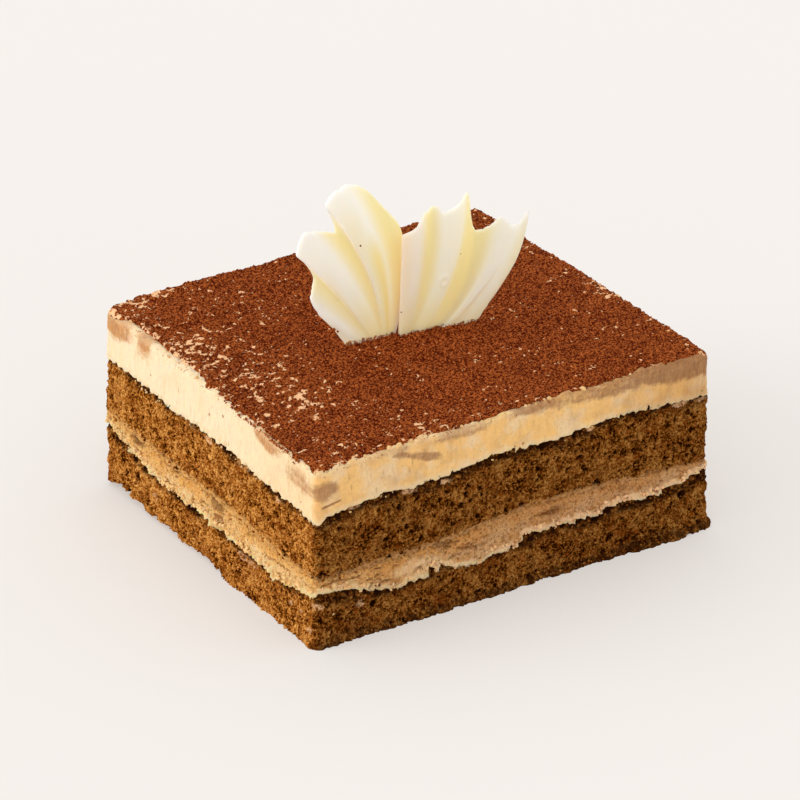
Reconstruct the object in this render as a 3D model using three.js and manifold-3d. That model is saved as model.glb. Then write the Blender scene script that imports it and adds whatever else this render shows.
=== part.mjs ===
// A cut block of tiramisu: two coffee-soaked sponges, a coffee cream filling between them, a thick cream top
// under a skin of cocoa, and two ruffled white-chocolate fans set into the top.
// Millimetres, +Z up, origin at the middle of the underside. +X runs along the long cut faces.
import * as THREE from 'three';
import { mergeVertices } from 'three/addons/utils/BufferGeometryUtils.js';
import Module from 'manifold-3d';

const wasm = await Module();
wasm.setup();

// The block
const LENGTH = 91;
const WIDTH = 0.905 * LENGTH;
const HEIGHT = 0.43 * LENGTH;
const HALF_LENGTH = LENGTH / 2;
const HALF_WIDTH = WIDTH / 2;
const CORNER_RADIUS = 1.6;
const GAP = 0.3;
const COCOA_THICKNESS = 0.6;
const COCOA_INSET = 0.7;

// How far each upright corner of the cut block stands off a true block, at the foot and at the top
const CORNER_SHIFTS = [
  { x: 1, y: 1, foot: [0.1, 0.2], top: [-0.1, 0.5] },
  { x: -1, y: 1, foot: [-1.0, -1.3], top: [1.4, 0.6] },
  { x: -1, y: -1, foot: [0.1, 1.1], top: [-0.5, -0.7] },
  { x: 1, y: -1, foot: [1.1, 0.0], top: [-0.5, 0.0] },
];

// Where one layer meets the next: mean height, rise towards +X and +Y, rise at all four corners, and
// waves along each side given as [height, length, turn]. The corner rise gathers by a power.
const CORNER_POWER = 4;
const BASE_TOP = {
  level: 0.274 * HEIGHT,
  tilt: [1.0, 0.9],
  corner: 2.2,
  alongX: [[0.36, 70, 1.1], [0.3, 21, 0.8]],
  alongY: [[0.57, 40, 2.0]],
};
const FILLING_TOP = {
  level: 0.43 * HEIGHT,
  tilt: [0.9, 0.7],
  corner: -1.3,
  alongX: [[0.92, 70, 1.2]],
  alongY: [[0.62, 48, 1.8]],
};
const MIDDLE_TOP = {
  level: 0.767 * HEIGHT,
  tilt: [1.4, 0.1],
  corner: -1.0,
  alongX: [[0.49, 29, 2.6]],
  alongY: [[0.42, 40, 1.9]],
};
const CREAM_TOP = {
  level: 0.988 * HEIGHT,
  tilt: [0.1, -0.1],
  corner: -0.6,
  alongX: [[0.15, 31, 0.8]],
  alongY: [[0.15, 37, 2.0]],
};

// Mesh fineness
const CORNER_STEPS = 3;
const SIDE_STEPS = 19;
const CAP_SHARES = [0.9, 0.5];
const FAN_STEPS_PER_POINT = 3;
const SLOT_STEPS_PER_POINT = 1;
const FAN_ROWS = 8;

// Fans: each stands on the seat line, leans back, and opens from a narrow gather to a wavy rim.
// A rim point is [along the seat, up, out towards the front]. Bow is how far the ribs arch sideways. Pleats
// stand out by a share of the rim's own, and fade towards the gather by a power.
const FAN_TURN = THREE.MathUtils.degToRad(-7.7);
const FAN_LEAN = THREE.MathUtils.degToRad(8);
const FAN_SINK = 2.5;
const FAN_FOOT_THICKNESS = 1.3;
const FAN_RIM_THICKNESS = 0.9;
const PLEAT_SHARE = 0.8;
const PLEAT_FADE = 0.7;
const FANS = [
  {
    name: 'chocolate_fan_left',
    seat: [-1.6, -1.3],
    gather: [-7.0, -2.0],
    bow: (u) => 6.5 * u ** 1.5 * (1 - u ** 6),
    rim: [
      [-11.3, -1.3, 0.0],
      [-14.3, 3.6, 0.6],
      [-17.6, 7.6, 1.2],
      [-18.8, 11.0, 1.0],
      [-17.5, 14.7, -1.2],
      [-19.9, 18.9, 0.4],
      [-21.3, 20.3, 1.2],
      [-19.6, 24.4, 1.7],
      [-16.0, 24.0, 0.4],
      [-12.2, 23.1, -1.5],
      [-13.6, 27.7, 0.3],
      [-14.6, 29.3, 1.1],
      [-12.0, 31.9, 1.6],
      [-9.3, 32.5, 0.9],
      [-5.2, 30.4, -1.1],
      [-1.3, 25.8, -0.4],
      [1.7, 21.7, -1.1],
      [2.8, 16.5, -1.7],
    ],
  },
  {
    name: 'chocolate_fan_right',
    seat: [-1.7, -2.7],
    gather: [-1.3, 7.0],
    bow: (u) => 3.4 * Math.sin(Math.PI * u),
    rim: [
      [0.6, 20.9, 1.2],
      [3.4, 21.7, 1.6],
      [5.7, 23.9, 0.7],
      [7.4, 24.7, -1.4],
      [8.9, 25.3, 0.2],
      [10.0, 24.0, 1.0],
      [13.7, 25.1, 1.0],
      [15.7, 27.1, -0.2],
      [16.8, 20.6, -1.6],
      [17.7, 18.3, -1.9],
      [19.6, 18.8, -0.6],
      [22.6, 20.6, 1.0],
      [24.5, 18.7, 1.25],
      [26.0, 19.0, 1.4],
      [28.1, 20.8, 1.6],
      [26.9, 15.4, 1.4],
      [24.8, 10.6, 0.8],
      [20.1, 4.5, 0.2],
      [15.4, -1.0, -0.3],
    ],
  },
];

// Relief, each way from the mean face
const SPONGE_RELIEF = 0.4;
const CREAM_RELIEF = 0.14;

// Factors that scatter the relief, and how near two points are one
const SCATTER = { step: 12.9898, row: 78.233, seed: 37.719, stretch: 43758.5453 };
const MERGE_DISTANCE = 1e-4;

const mix = THREE.MathUtils.lerp;

// A repeatable number from -1 to 1 for a step round the block and a row up its side.
function roughness(step, row, seed) {
  const angle = step * SCATTER.step + row * SCATTER.row + seed * SCATTER.seed;
  const wave = Math.sin(angle) * SCATTER.stretch;
  return 2 * (wave - Math.floor(wave)) - 1;
}

// Sum of sine waves along one direction.
function waves(list, distance) {
  return list.reduce((sum, [height, length, turn]) => (
    sum + height * Math.sin((2 * Math.PI * distance) / length + turn)
  ), 0);
}

// Height of the face between two layers at a place in plan.
function heightOf(face, x, y) {
  const alongX = x / HALF_LENGTH;
  const alongY = y / HALF_WIDTH;
  const rise = face.tilt[0] * alongX + face.tilt[1] * alongY + face.corner * (alongX * alongY) ** CORNER_POWER;
  return face.level + rise + waves(face.alongX, x) + waves(face.alongY, y);
}

// A point of a true block carried to the cut block, whose four corners stand a little off true.
function cutPoint(x, y, z) {
  const point = new THREE.Vector3(x, y, z);
  const up = z / HEIGHT;
  for (const corner of CORNER_SHIFTS) {
    const share = 0.25 * (1 + (corner.x * x) / HALF_LENGTH) * (1 + (corner.y * y) / HALF_WIDTH);
    point.x += share * mix(corner.foot[0], corner.top[0], up);
    point.y += share * mix(corner.foot[1], corner.top[1], up);
  }
  return point;
}

// The rounded plan of the block, anticlockwise from above, each point with its outward direction.
function planOutline() {
  const outline = [];
  const signs = [[1, 1], [-1, 1], [-1, -1], [1, -1]];
  const cornerPoint = (corner, angle) => {
    const [signX, signY] = signs[corner % 4];
    return {
      x: signX * (HALF_LENGTH - CORNER_RADIUS) + CORNER_RADIUS * Math.cos(angle),
      y: signY * (HALF_WIDTH - CORNER_RADIUS) + CORNER_RADIUS * Math.sin(angle),
      outX: Math.cos(angle),
      outY: Math.sin(angle),
    };
  };
  signs.forEach((_, corner) => {
    const start = (corner * Math.PI) / 2;
    const end = start + Math.PI / 2;
    for (let step = 0; step <= CORNER_STEPS; step += 1) {
      outline.push(cornerPoint(corner, mix(start, end, step / CORNER_STEPS)));
    }
    const from = cornerPoint(corner, end);
    const to = cornerPoint(corner + 1, end);
    for (let step = 1; step < SIDE_STEPS; step += 1) {
      const share = step / SIDE_STEPS;
      outline.push({ ...from, x: mix(from.x, to.x, share), y: mix(from.y, to.y, share) });
    }
  });
  return outline;
}

const OUTLINE = planOutline();

// A closed solid from rings of points, bottom to top, with a single point closing each end. The faces of the
// underside are split the other way round, so that they match the top of the layer below.
function ringSolid(undersideRings, upperRings, bottomPoint, topPoint) {
  const rings = [...undersideRings, ...upperRings];
  const count = rings[0].length;
  const points = [...rings.flat(), bottomPoint, topPoint];
  const bottom = points.length - 2;
  const top = points.length - 1;
  const index = [];
  const lastRing = (rings.length - 1) * count;
  for (let step = 0; step < count; step += 1) {
    const next = (step + 1) % count;
    index.push(bottom, next, step);
    index.push(top, lastRing + step, lastRing + next);
    for (let ring = 0; ring + 1 < rings.length; ring += 1) {
      const low = ring * count;
      const high = low + count;
      if (ring < undersideRings.length) {
        index.push(low + step, low + next, high + step);
        index.push(low + next, high + next, high + step);
      } else {
        index.push(low + step, low + next, high + next);
        index.push(low + step, high + next, high + step);
      }
    }
  }
  const geometry = new THREE.BufferGeometry().setFromPoints(points);
  geometry.setIndex(index);
  return geometry;
}

// A layer between two faces, with rough sides. Face heights are read on the true plan, so that
// neighbouring layers keep their gap whatever the relief does.
function layerSolid({ floorOf, topOf, rows, relief, seed, inset = 0 }) {
  const capRings = (faceOf) => CAP_SHARES.map((share) => (
    OUTLINE.map(({ x, y }) => cutPoint(share * x, share * y, faceOf(share * x, share * y)))
  ));
  const bottomRings = capRings(floorOf).reverse();
  const topRings = capRings(topOf);
  const sideRings = Array.from({ length: rows + 1 }, (_, row) => (
    OUTLINE.map(({ x, y, outX, outY }, step) => {
      const z = mix(floorOf(x, y), topOf(x, y), row / rows);
      const out = relief * roughness(step, row, seed) - inset;
      return cutPoint(x + out * outX, y + out * outY, z);
    })
  ));
  return ringSolid(
    bottomRings,
    [...sideRings, ...topRings],
    cutPoint(0, 0, floorOf(0, 0)),
    cutPoint(0, 0, topOf(0, 0)),
  );
}

// A face moved up or down by a fixed amount.
const offsetFace = (face, lift) => (x, y) => heightOf(face, x, y) + lift;

// A point of a fan's middle sheet in its own frame: each rib is an arc from the gather to the rim.
// u runs across the ribs and v up them. X is along the seat, Z is up and -Y faces the front.
function fanPoint(fan, rimCurve, u, v) {
  const foot = new THREE.Vector3(mix(fan.gather[0], fan.gather[1], u), -FAN_SINK, 0);
  const rim = rimCurve.getPoint(u);
  const chord = rim.clone().sub(foot);
  const length = Math.hypot(chord.x, chord.y);
  const arch = (4 * v * (1 - v) * fan.bow(u)) / length;
  const along = foot.x + v * chord.x + arch * chord.y;
  const up = foot.y + v * chord.y - arch * chord.x;
  const out = PLEAT_SHARE * rim.z * v ** PLEAT_FADE;
  return new THREE.Vector3(along, -out, up);
}

// A fan as a thin wavy solid with both faces split alike; grow makes it fatter.
function fanSolid(fan, stepsPerPoint, grow) {
  const rimCurve = new THREE.CatmullRomCurve3(fan.rim.map((point) => new THREE.Vector3(...point)));
  const columns = (fan.rim.length - 1) * stepsPerPoint;
  const sheet = [];
  for (let column = 0; column <= columns; column += 1) {
    for (let row = 0; row <= FAN_ROWS; row += 1) {
      const v = row / FAN_ROWS;
      const point = fanPoint(fan, rimCurve, column / columns, v);
      const half = mix(FAN_FOOT_THICKNESS, FAN_RIM_THICKNESS, v) / 2 + grow;
      sheet.push({ point, half });
    }
  }
  const front = sheet.map(({ point, half }) => point.clone().add(new THREE.Vector3(0, -half, 0)));
  const back = sheet.map(({ point, half }) => point.clone().add(new THREE.Vector3(0, half, 0)));
  const at = (column, row) => column * (FAN_ROWS + 1) + row;
  const index = [];
  const wall = (a, b) => index.push(a, b, b + sheet.length, a, b + sheet.length, a + sheet.length);
  for (let column = 0; column < columns; column += 1) {
    for (let row = 0; row < FAN_ROWS; row += 1) {
      const corners = [at(column, row), at(column + 1, row), at(column + 1, row + 1), at(column, row + 1)];
      for (const [a, b, c] of [[0, 1, 2], [0, 2, 3]]) {
        index.push(corners[a], corners[b], corners[c]);
        index.push(corners[a] + sheet.length, corners[c] + sheet.length, corners[b] + sheet.length);
      }
    }
    wall(at(column + 1, 0), at(column, 0));
    wall(at(column, FAN_ROWS), at(column + 1, FAN_ROWS));
  }
  for (let row = 0; row < FAN_ROWS; row += 1) {
    wall(at(0, row), at(0, row + 1));
    wall(at(columns, row + 1), at(columns, row));
  }
  const geometry = new THREE.BufferGeometry().setFromPoints([...front, ...back]);
  geometry.setIndex(index);
  return geometry;
}

// Closed geometry as a solid that can be cut.
function toSolid(geometry) {
  const bare = new THREE.BufferGeometry();
  bare.setAttribute('position', geometry.getAttribute('position'));
  bare.setIndex(geometry.getIndex());
  const merged = mergeVertices(bare, MERGE_DISTANCE);
  return new wasm.Manifold(new wasm.Mesh({
    numProp: 3,
    vertProperties: new Float32Array(merged.attributes.position.array),
    triVerts: new Uint32Array(merged.index.array),
  }));
}

// A cut solid back as geometry, keeping its one largest body.
function toGeometry(solid) {
  const bodies = solid.decompose().sort((a, b) => b.volume() - a.volume());
  const mesh = bodies[0].getMesh();
  const geometry = new THREE.BufferGeometry();
  geometry.setAttribute('position', new THREE.BufferAttribute(mesh.vertProperties, 3));
  geometry.setIndex(new THREE.BufferAttribute(mesh.triVerts, 1));
  return geometry;
}

// Materials
const spongeFinish = new THREE.MeshStandardMaterial({ color: 0x96602a, roughness: 0.95, metalness: 0 });
const fillingFinish = new THREE.MeshStandardMaterial({ color: 0xd3a063, roughness: 0.6, metalness: 0 });
const creamFinish = new THREE.MeshStandardMaterial({ color: 0xf6dfae, roughness: 0.5, metalness: 0 });
const cocoaFinish = new THREE.MeshStandardMaterial({ color: 0x80401a, roughness: 1, metalness: 0 });
const chocolateFinish = new THREE.MeshStandardMaterial({ color: 0xf0e2c6, roughness: 0.4, metalness: 0 });

const slice = new THREE.Group();

// Fans, and the slots that their feet stand in
const slots = FANS.map((fan) => {
  const mesh = new THREE.Mesh(fanSolid(fan, FAN_STEPS_PER_POINT, 0), chocolateFinish.clone());
  mesh.name = fan.name;
  mesh.position.set(fan.seat[0], fan.seat[1], HEIGHT);
  mesh.rotation.set(-FAN_LEAN, 0, FAN_TURN, 'ZXY');
  mesh.updateMatrixWorld(true);
  slice.add(mesh);
  return toSolid(fanSolid(fan, SLOT_STEPS_PER_POINT, GAP).applyMatrix4(mesh.matrixWorld));
});

function addLayer(name, geometry, finish) {
  const mesh = new THREE.Mesh(geometry, finish);
  mesh.name = name;
  slice.add(mesh);
}

// The same layer with the fans' slots cut out of it.
function slotted(geometry) {
  return toGeometry(slots.reduce((solid, slot) => solid.subtract(slot), toSolid(geometry)));
}

// Layers from the underside up
addLayer('sponge_base', layerSolid({
  floorOf: () => 0,
  topOf: offsetFace(BASE_TOP, -GAP / 2),
  rows: 4,
  relief: SPONGE_RELIEF,
  seed: 1,
}), spongeFinish);

addLayer('cream_filling', layerSolid({
  floorOf: offsetFace(BASE_TOP, GAP / 2),
  topOf: offsetFace(FILLING_TOP, -GAP / 2),
  rows: 3,
  relief: CREAM_RELIEF,
  seed: 3,
}), fillingFinish);

addLayer('sponge_middle', layerSolid({
  floorOf: offsetFace(FILLING_TOP, GAP / 2),
  topOf: offsetFace(MIDDLE_TOP, -GAP / 2),
  rows: 5,
  relief: SPONGE_RELIEF,
  seed: 5,
}), spongeFinish.clone());

addLayer('cream_top', slotted(layerSolid({
  floorOf: offsetFace(MIDDLE_TOP, GAP / 2),
  topOf: offsetFace(CREAM_TOP, -GAP / 2),
  rows: 4,
  relief: CREAM_RELIEF,
  seed: 7,
})), creamFinish);

addLayer('cocoa_dusting', slotted(layerSolid({
  floorOf: offsetFace(CREAM_TOP, GAP / 2),
  topOf: offsetFace(CREAM_TOP, GAP / 2 + COCOA_THICKNESS),
  rows: 1,
  relief: CREAM_RELIEF,
  seed: 9,
  inset: COCOA_INSET,
})), cocoaFinish);

export default slice;
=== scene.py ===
"""Looks of a cut block of tiramisu: porous sponge, streaked cream, a cocoa skin and white-chocolate fans.

Shapes are worked out in millimetres, +Z up, with the origin at the middle of the underside, and become
metres in the mesh. The left side of the block faces -X and its front side faces -Y.
"""

import itertools
import math
from typing import NamedTuple

import bpy
import numpy as np
from mathutils import Color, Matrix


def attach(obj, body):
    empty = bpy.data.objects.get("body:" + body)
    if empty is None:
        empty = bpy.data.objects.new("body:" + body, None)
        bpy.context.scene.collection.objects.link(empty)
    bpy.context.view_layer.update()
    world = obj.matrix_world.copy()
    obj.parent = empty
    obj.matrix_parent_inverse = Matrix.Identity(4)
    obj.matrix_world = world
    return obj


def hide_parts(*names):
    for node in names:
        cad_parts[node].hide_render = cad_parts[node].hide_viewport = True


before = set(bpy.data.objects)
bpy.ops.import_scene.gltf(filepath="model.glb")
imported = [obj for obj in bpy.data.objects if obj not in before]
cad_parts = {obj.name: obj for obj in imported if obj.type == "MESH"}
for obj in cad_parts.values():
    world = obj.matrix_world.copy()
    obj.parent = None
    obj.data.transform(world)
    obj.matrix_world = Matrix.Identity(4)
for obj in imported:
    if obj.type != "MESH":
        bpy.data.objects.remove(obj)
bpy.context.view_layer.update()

bl_info = {
    "name": "Tiramisu slice",
    "version": (1, 0, 0),
    "blender": (4, 5, 0),
    "location": "View3D > Sidebar > Tiramisu",
    "description": "Makes the crumb, cream, cocoa and chocolate of a cut block of tiramisu",
    "category": "Add Mesh",
}

MM = 0.001
TURN = 2 * math.pi
BODY = "root"

# Layer faces


class LayerFace(NamedTuple):
    """Where one layer meets the next.

    level is a share of the block's height. The rest is in millimetres: the rise towards +X and +Y, the rise
    at all four corners, and waves along each side as (height, length, turn in radians).
    """

    level: float
    tilt: tuple
    corner: float
    along_x: tuple
    along_y: tuple


BASE_TOP = LayerFace(0.274, (1.0, 0.9), 2.2, ((0.36, 70, 1.1), (0.3, 21, 0.8)), ((0.57, 40, 2.0),))
FILLING_TOP = LayerFace(0.43, (0.9, 0.7), -1.3, ((0.92, 70, 1.2),), ((0.62, 48, 1.8),))
MIDDLE_TOP = LayerFace(0.767, (1.4, 0.1), -1.0, ((0.49, 29, 2.6),), ((0.42, 40, 1.9),))
CREAM_TOP = LayerFace(0.988, (0.1, -0.1), -0.6, ((0.15, 31, 0.8),), ((0.15, 37, 2.0),))

# Shifts of the upright corners off a true block, anticlockwise: (side in x, in y), at the foot, at the top
CORNER_SHIFTS = (
    ((1, 1), (0.1, 0.2), (-0.1, 0.5)),
    ((-1, 1), (-1.0, -1.3), (1.4, 0.6)),
    ((-1, -1), (0.1, 1.1), (-0.5, -0.7)),
    ((1, -1), (1.1, 0.0), (-0.5, 0.0)),
)
# Rings that close a layer below and above, as shares of its outline
CAP_SHARES = (0.985, 0.9, 0.5)
CREAM_CAP_SHARES = (0.97, 0.95, 0.9, 0.5)
# Most that the lower sponge's foot is raised, and the height of the skirt round the cocoa skin
FOOT_MOST = 2.6
COCOA_SKIRT = 0.4
# Pores of the sponge, small to large: cell, least and most reach in cells, and rarity of the large ones
PORES = ((0.85, 0.3, 0.52, 1), (1.4, 0.15, 0.5, 2), (3.3, 0.03, 0.36, 3))

# Fans: a rim point is (along the seat, up, out to the front), and a thickness is (at the foot, at the rim)
FAN_TURN = math.radians(-7.7)
FAN_LEAN = math.radians(8)
FAN_SINK = 2.5
FAN_THICKNESS = (1.3, 0.9)
FAN_COLUMNS_PER_POINT = 11
FAN_ROWS = 64
PLEAT_SHARE = 0.8
PLEAT_FADE = 0.7
PLEAT_SPAN = 0.042
RIM_CHIP = 0.7
BUBBLE_RISE = 0.42
BUBBLE_WALL = 0.3


class Fan(NamedTuple):
    """A ruffled fan: the node it stands for, its seat and gather, its ribs' bow, and the points of its rim.

    tint is how much of the yellow crease colour the whole fan takes; that yellow is painted light, let
    through the sheet and thrown back between its folds. rim_tint is the same for its last edge, and folds are
    further yellow bands, each as (middle across, half width, end on the way up, strength). bubbles are small
    raised rings, each as (along, up, radius), and specks are bits of cocoa stuck on it, in the same form.
    """

    node: str
    seat: tuple
    gather: tuple
    bow: object
    tint: float
    rim_tint: float
    folds: tuple
    bubbles: tuple
    specks: tuple
    rim: tuple


FANS = (
    Fan(
        node="chocolate_fan_left",
        seat=(-1.6, -1.3),
        gather=(-7.0, -2.0),
        bow=lambda u: 6.5 * u**1.5 * (1 - u**6),
        tint=0.04,
        rim_tint=0.0,
        folds=((0.72, 0.1, 0.75, 0.95), (0.67, 0.08, 1.0, 0.4), (0.31, 0.1, 0.85, 0.6)),
        bubbles=(),
        specks=((-14.4, 3.8, 0.5), (-13.7, 3.2, 0.4), (-7.9, 19.8, 0.22)),
        rim=(
            (-11.3, -1.3, 0.0), (-14.3, 3.6, 0.6), (-17.6, 7.6, 1.2), (-18.8, 11.0, 1.0),
            (-17.5, 14.7, -1.2), (-19.9, 18.9, 0.4), (-21.3, 20.3, 1.2), (-19.6, 24.4, 1.7),
            (-16.0, 24.0, 0.4), (-12.2, 23.1, -1.5), (-13.6, 27.7, 0.3), (-14.6, 29.3, 1.1),
            (-12.0, 31.9, 1.6), (-9.3, 32.5, 0.9), (-5.2, 30.4, -1.1), (-1.3, 25.8, -0.4),
            (1.7, 21.7, -1.1), (2.8, 16.5, -1.7),
        ),
    ),
    Fan(
        node="chocolate_fan_right",
        seat=(-1.7, -2.7),
        gather=(-1.3, 7.0),
        bow=lambda u: 3.4 * np.sin(math.pi * u),
        tint=0.2,
        rim_tint=0.55,
        folds=((0.0, 0.07, 1.2, 0.3),),
        bubbles=((9.0, 9.8, 0.9),),
        specks=((-0.6, 5.2, 0.2), (-0.6, 1.4, 0.24), (13.4, 14.6, 0.16)),
        rim=(
            (0.6, 20.9, 1.2), (3.4, 21.7, 1.6), (5.7, 23.9, 0.7), (7.4, 24.7, -1.4), (8.9, 25.3, 0.2),
            (10.0, 24.0, 1.0), (13.7, 25.1, 1.0), (15.7, 27.1, -0.2), (16.8, 20.6, -1.6), (17.7, 18.3, -1.9),
            (19.6, 18.8, -0.6), (22.6, 20.6, 1.0), (24.5, 18.7, 1.25), (26.0, 19.0, 1.4), (28.1, 20.8, 1.6),
            (26.9, 15.4, 1.4), (24.8, 10.6, 0.8), (20.1, 4.5, 0.2), (15.4, -1.0, -0.3),
        ),
    ),
)

# Coffee marbling in the top cream: soft blobs given as (middle, half sizes, strength)
COFFEE_BLOBS = (
    ((-24, -41, 36.2), (5.0, 5, 1.7), 0.5),
    ((-28, -41, 38.5), (7, 5, 1.5), 0.7),
    ((-13, -41, 38.2), (9, 5, 1.9), 0.8),
    ((3, -41, 38.6), (9, 5, 1.9), 1.0),
    ((-43.5, -41, 34.4), (3.8, 4, 3.4), 1.1),
    ((-45, 36, 37.4), (6, 9.0, 6.0), 1.1),
    ((-45, 25, 37.8), (6, 4.4, 5.0), 1.05),
    ((-45, -24, 37.2), (5, 7.5, 3.6), 1.15),
    ((-45, -35, 34.3), (5, 11.0, 3.4), 0.8),
    ((-12, 41, 37.0), (12, 6, 3.4), 1.0),
    ((24, 41, 38.4), (20, 6, 4.2), 1.0),
)
# Coffee streaks in the top cream: (start, end, half width)
COFFEE_STREAKS = (
    ((-28.6, -41.3, 37.5), (-24.0, -41.3, 36.1), 1.1),
    ((-24.0, -41.3, 36.1), (-18.8, -41.3, 34.5), 1.5),
)
# Coffee band under the cocoa: its depth, and ramps along X as (start, end, share of that depth)
COFFEE_BAND_DEPTH = 4.4
COFFEE_BAND = ((2, 11, 0.62), (14, 42, 0.38))
# Thin cracks in the top cream: (start, end, half width)
CREAM_CRACKS = (
    ((-45.6, -41.4, 30.7), (-43.4, -41.4, 30.9), 0.42),
    ((-43.4, -41.4, 30.9), (-40.4, -41.4, 31.3), 0.38),
    ((-33.4, -41.4, 32.4), (-32.9, -41.4, 34.4), 0.2),
)
# Cracks in the filling, in the same form
FILLING_CRACKS = (
    ((-44.5, -41.2, 13.5), (-41.5, -41.2, 13.8), 0.28),
    ((-41.5, -41.2, 13.8), (-36.0, -41.2, 13.2), 0.28),
    ((-45.5, -25.0, 12.3), (-45.5, -31.5, 12.7), 0.3),
    ((-45.5, 5.4, 11.8), (-45.5, 2.8, 10.0), 0.75),
)
# Tongues of filling that hang over the lower sponge: (way the side faces, start, end, drop)
LIP_TONGUES = (
    ((0, -1), -36, -20.5, 1.2),
    ((0, -1), -18.5, 0.4, 1.7),
    ((0, -1), 0.4, 7.5, 0.4),
    ((0, -1), 13.5, 19.5, 1.0),
    ((0, -1), 24, 33, 0.4),
    ((0, -1), 35, 39, 0.6),
    ((-1, 0), -46, -25, 0.7),
    ((-1, 0), -17, 0.5, 0.5),
    ((-1, 0), 3.5, 9, 0.6),
)
# Chalky smears of cream on the sponges, in the form of the blobs
SKIN_CHALK = (
    ((-38, -41, 29.0), (4.0, 3, 1.0), 0.75),
    ((-25, -41, 28.8), (3.0, 3, 1.2), 0.85),
    ((-17, -41, 28.4), (2.2, 3, 1.0), 0.95),
    ((16.5, -41, 30.2), (2.2, 3, 0.9), 1.0),
    ((38, -41, 29.6), (3.0, 3, 1.0), 0.95),
    ((43, -41, 29.3), (3.0, 3, 1.0), 0.95),
    ((-45, 9, 27.9), (3, 10.0, 0.9), 0.65),
    ((-45, -1, 27.5), (3, 3.0, 0.9), 0.95),
    ((-45, -14, 27.8), (3, 5.0, 0.9), 0.65),
    ((-45, -27.5, 26.5), (3, 1.8, 1.2), 0.95),
    ((-45, -14, 7.8), (3, 8.0, 1.2), 0.85),
    ((-45, 20, 6.0), (3, 1.6, 1.6), 0.85),
    ((-45, -32, 6.0), (3, 1.2, 0.9), 0.9),
    ((-45, -35.5, 5.6), (3, 1.1, 0.8), 0.9),
    ((-45, -38.5, 2.8), (3, 1.3, 1.5), 0.9),
    ((-36, -41, 7.2), (1.4, 3, 1.6), 0.85),
    ((-45, -41, 9.0), (1.4, 3, 1.2), 0.9),
)
# Pale patches and dull blots on the filling, in the form of the blobs
FILLING_PALE = (
    ((-23, -41, 11.5), (9, 5, 3.2), 0.7),
    ((-45, 8, 12.0), (5, 9, 2.0), 0.6),
    ((-45, -20, 11.0), (5, 10, 2.4), 0.6),
)
FILLING_BLOTS = (
    ((-45, 27, 15.8), (4, 3.4, 2.2), 1.2),
    ((-45, -4, 15.0), (4, 3.6, 2.4), 0.95),
    ((-17, -41, 15.0), (3, 4, 1.8), 0.8),
    ((8, -41, 14.5), (3, 4, 1.2), 0.6),
)

# Loose bits: how many are drawn of each kind, and the seed of each piece's draws
LIP_BITS = 1000
LOWER_CRUMBS = 1800
FOOT_CRUMBS = 500
UPPER_CRUMBS = 2600
CREAM_BEADS = 200
CREAM_FLECKS = 240
CREAM_SMEARS = 40
CREAM_CURLS = 40
COCOA_GRANULES = 3600
SPILT_GRANULES = 2000
LIP_SEED = 21
CRUMB_SEED = 5
CREAM_SEED = 8
COCOA_SEED = 13

# Tints that multiply a colour: painted shade on the crumb, the filling, its pale lip and the far cream,
# then a random darker mottle of the coffee, and painted light that warms the coffee on the lit sides
CRUMB_SHADE = (0.53, 0.505, 0.47, 1)
SHADED_FILLING = (0.7, 0.64, 0.72, 1)
PALE_SHADE = (1.0, 0.92, 1.05, 1)
FAR_CREAM_SHADE = (0.8, 0.72, 0.62, 1)
COFFEE_MOTTLE = (0.7, 0.66, 0.62, 1)
COFFEE_LIT = (1.25, 1.1, 0.76, 1)

# Shader settings that finishes share, with lengths in metres
MATTE = {"Specular IOR Level": 0.0}
POWDERY = {"Specular IOR Level": 0.05}
SOFT_GLOW = {"Subsurface Weight": 0.5, "Subsurface Scale": 0.0012, "Subsurface Radius": (1.0, 0.6, 0.25)}
WAXY_GLOW = {
    "Specular IOR Level": 0.4,
    "Subsurface Weight": 1.0,
    "Subsurface Scale": 0.006,
    "Subsurface Radius": (1.0, 0.85, 0.6),
    "Emission Color": (1.0, 0.8, 0.6, 1),
    "Emission Strength": 0.045,
}
FLOOR_GLOW = {"Emission Color": (0.388, 0.369, 0.352, 1), "Emission Strength": 1.0}

# Stage: the floor's reach in metres, its clouds, and the colours, direction and spread of the light
FLOOR_REACH = 8.0
FLOOR_CLOUD = (0.45, 0.43, 0.41, 1)
SKY_COLOUR = (1.0, 0.985, 0.965, 1)
KEY_COLOUR = (1.0, 0.97, 0.93)
KEY_TOWARDS = (-0.89, 0.4, 0.2)
KEY_SPREAD = math.radians(50)

# Settings


def display(red, green, blue):
    """Scene-linear colour of a display colour given from 0 to 255: the usual display curve, undone."""
    shares = np.array([red, green, blue]) / 255
    linear = np.where(shares <= 0.04045, shares / 12.92, ((shares + 0.055) / 1.055) ** 2.4)
    return tuple(float(share) for share in linear)


def number(name, description, default, unit="NONE"):
    """A number setting."""
    return bpy.props.FloatProperty(name=name, description=description, default=default, unit=unit)


def size(name, description, millimetres):
    """A length setting, given in millimetres and kept in metres."""
    return number(name, description, millimetres * MM, "LENGTH")


def colour(name, description, default):
    """A colour setting, scene-linear."""
    return bpy.props.FloatVectorProperty(
        name=name, description=description, default=default, subtype="COLOR", size=3, min=0, max=1
    )


class TiramisuSizes(bpy.types.PropertyGroup):
    """Sizes of the block and of the relief on it."""

    length: size("Length", "Length of the block along X", 91)
    width_share: number("Width share", "Width over length", 0.905)
    height_share: number("Height share", "Height over length", 0.43)
    corner_radius: size("Corner radius", "Radius of the upright cut corners", 1.6)
    mesh_step: size("Mesh step", "Distance between points on the cut sides", 0.253)
    cocoa_step: size("Cocoa step", "Distance between points on the cocoa", 0.28)
    pore_depth: number("Pore depth", "Depth of the sponge's pores over their half width", 1.15)
    crumb_relief: size("Crumb relief", "Height of the sponge's lumps", 0.48)
    streak_relief: size("Streak relief", "Height of the knife streaks on the cream", 0.12)
    cocoa_grain: size("Cocoa grain", "Height of the cocoa's grains", 0.5)


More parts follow.
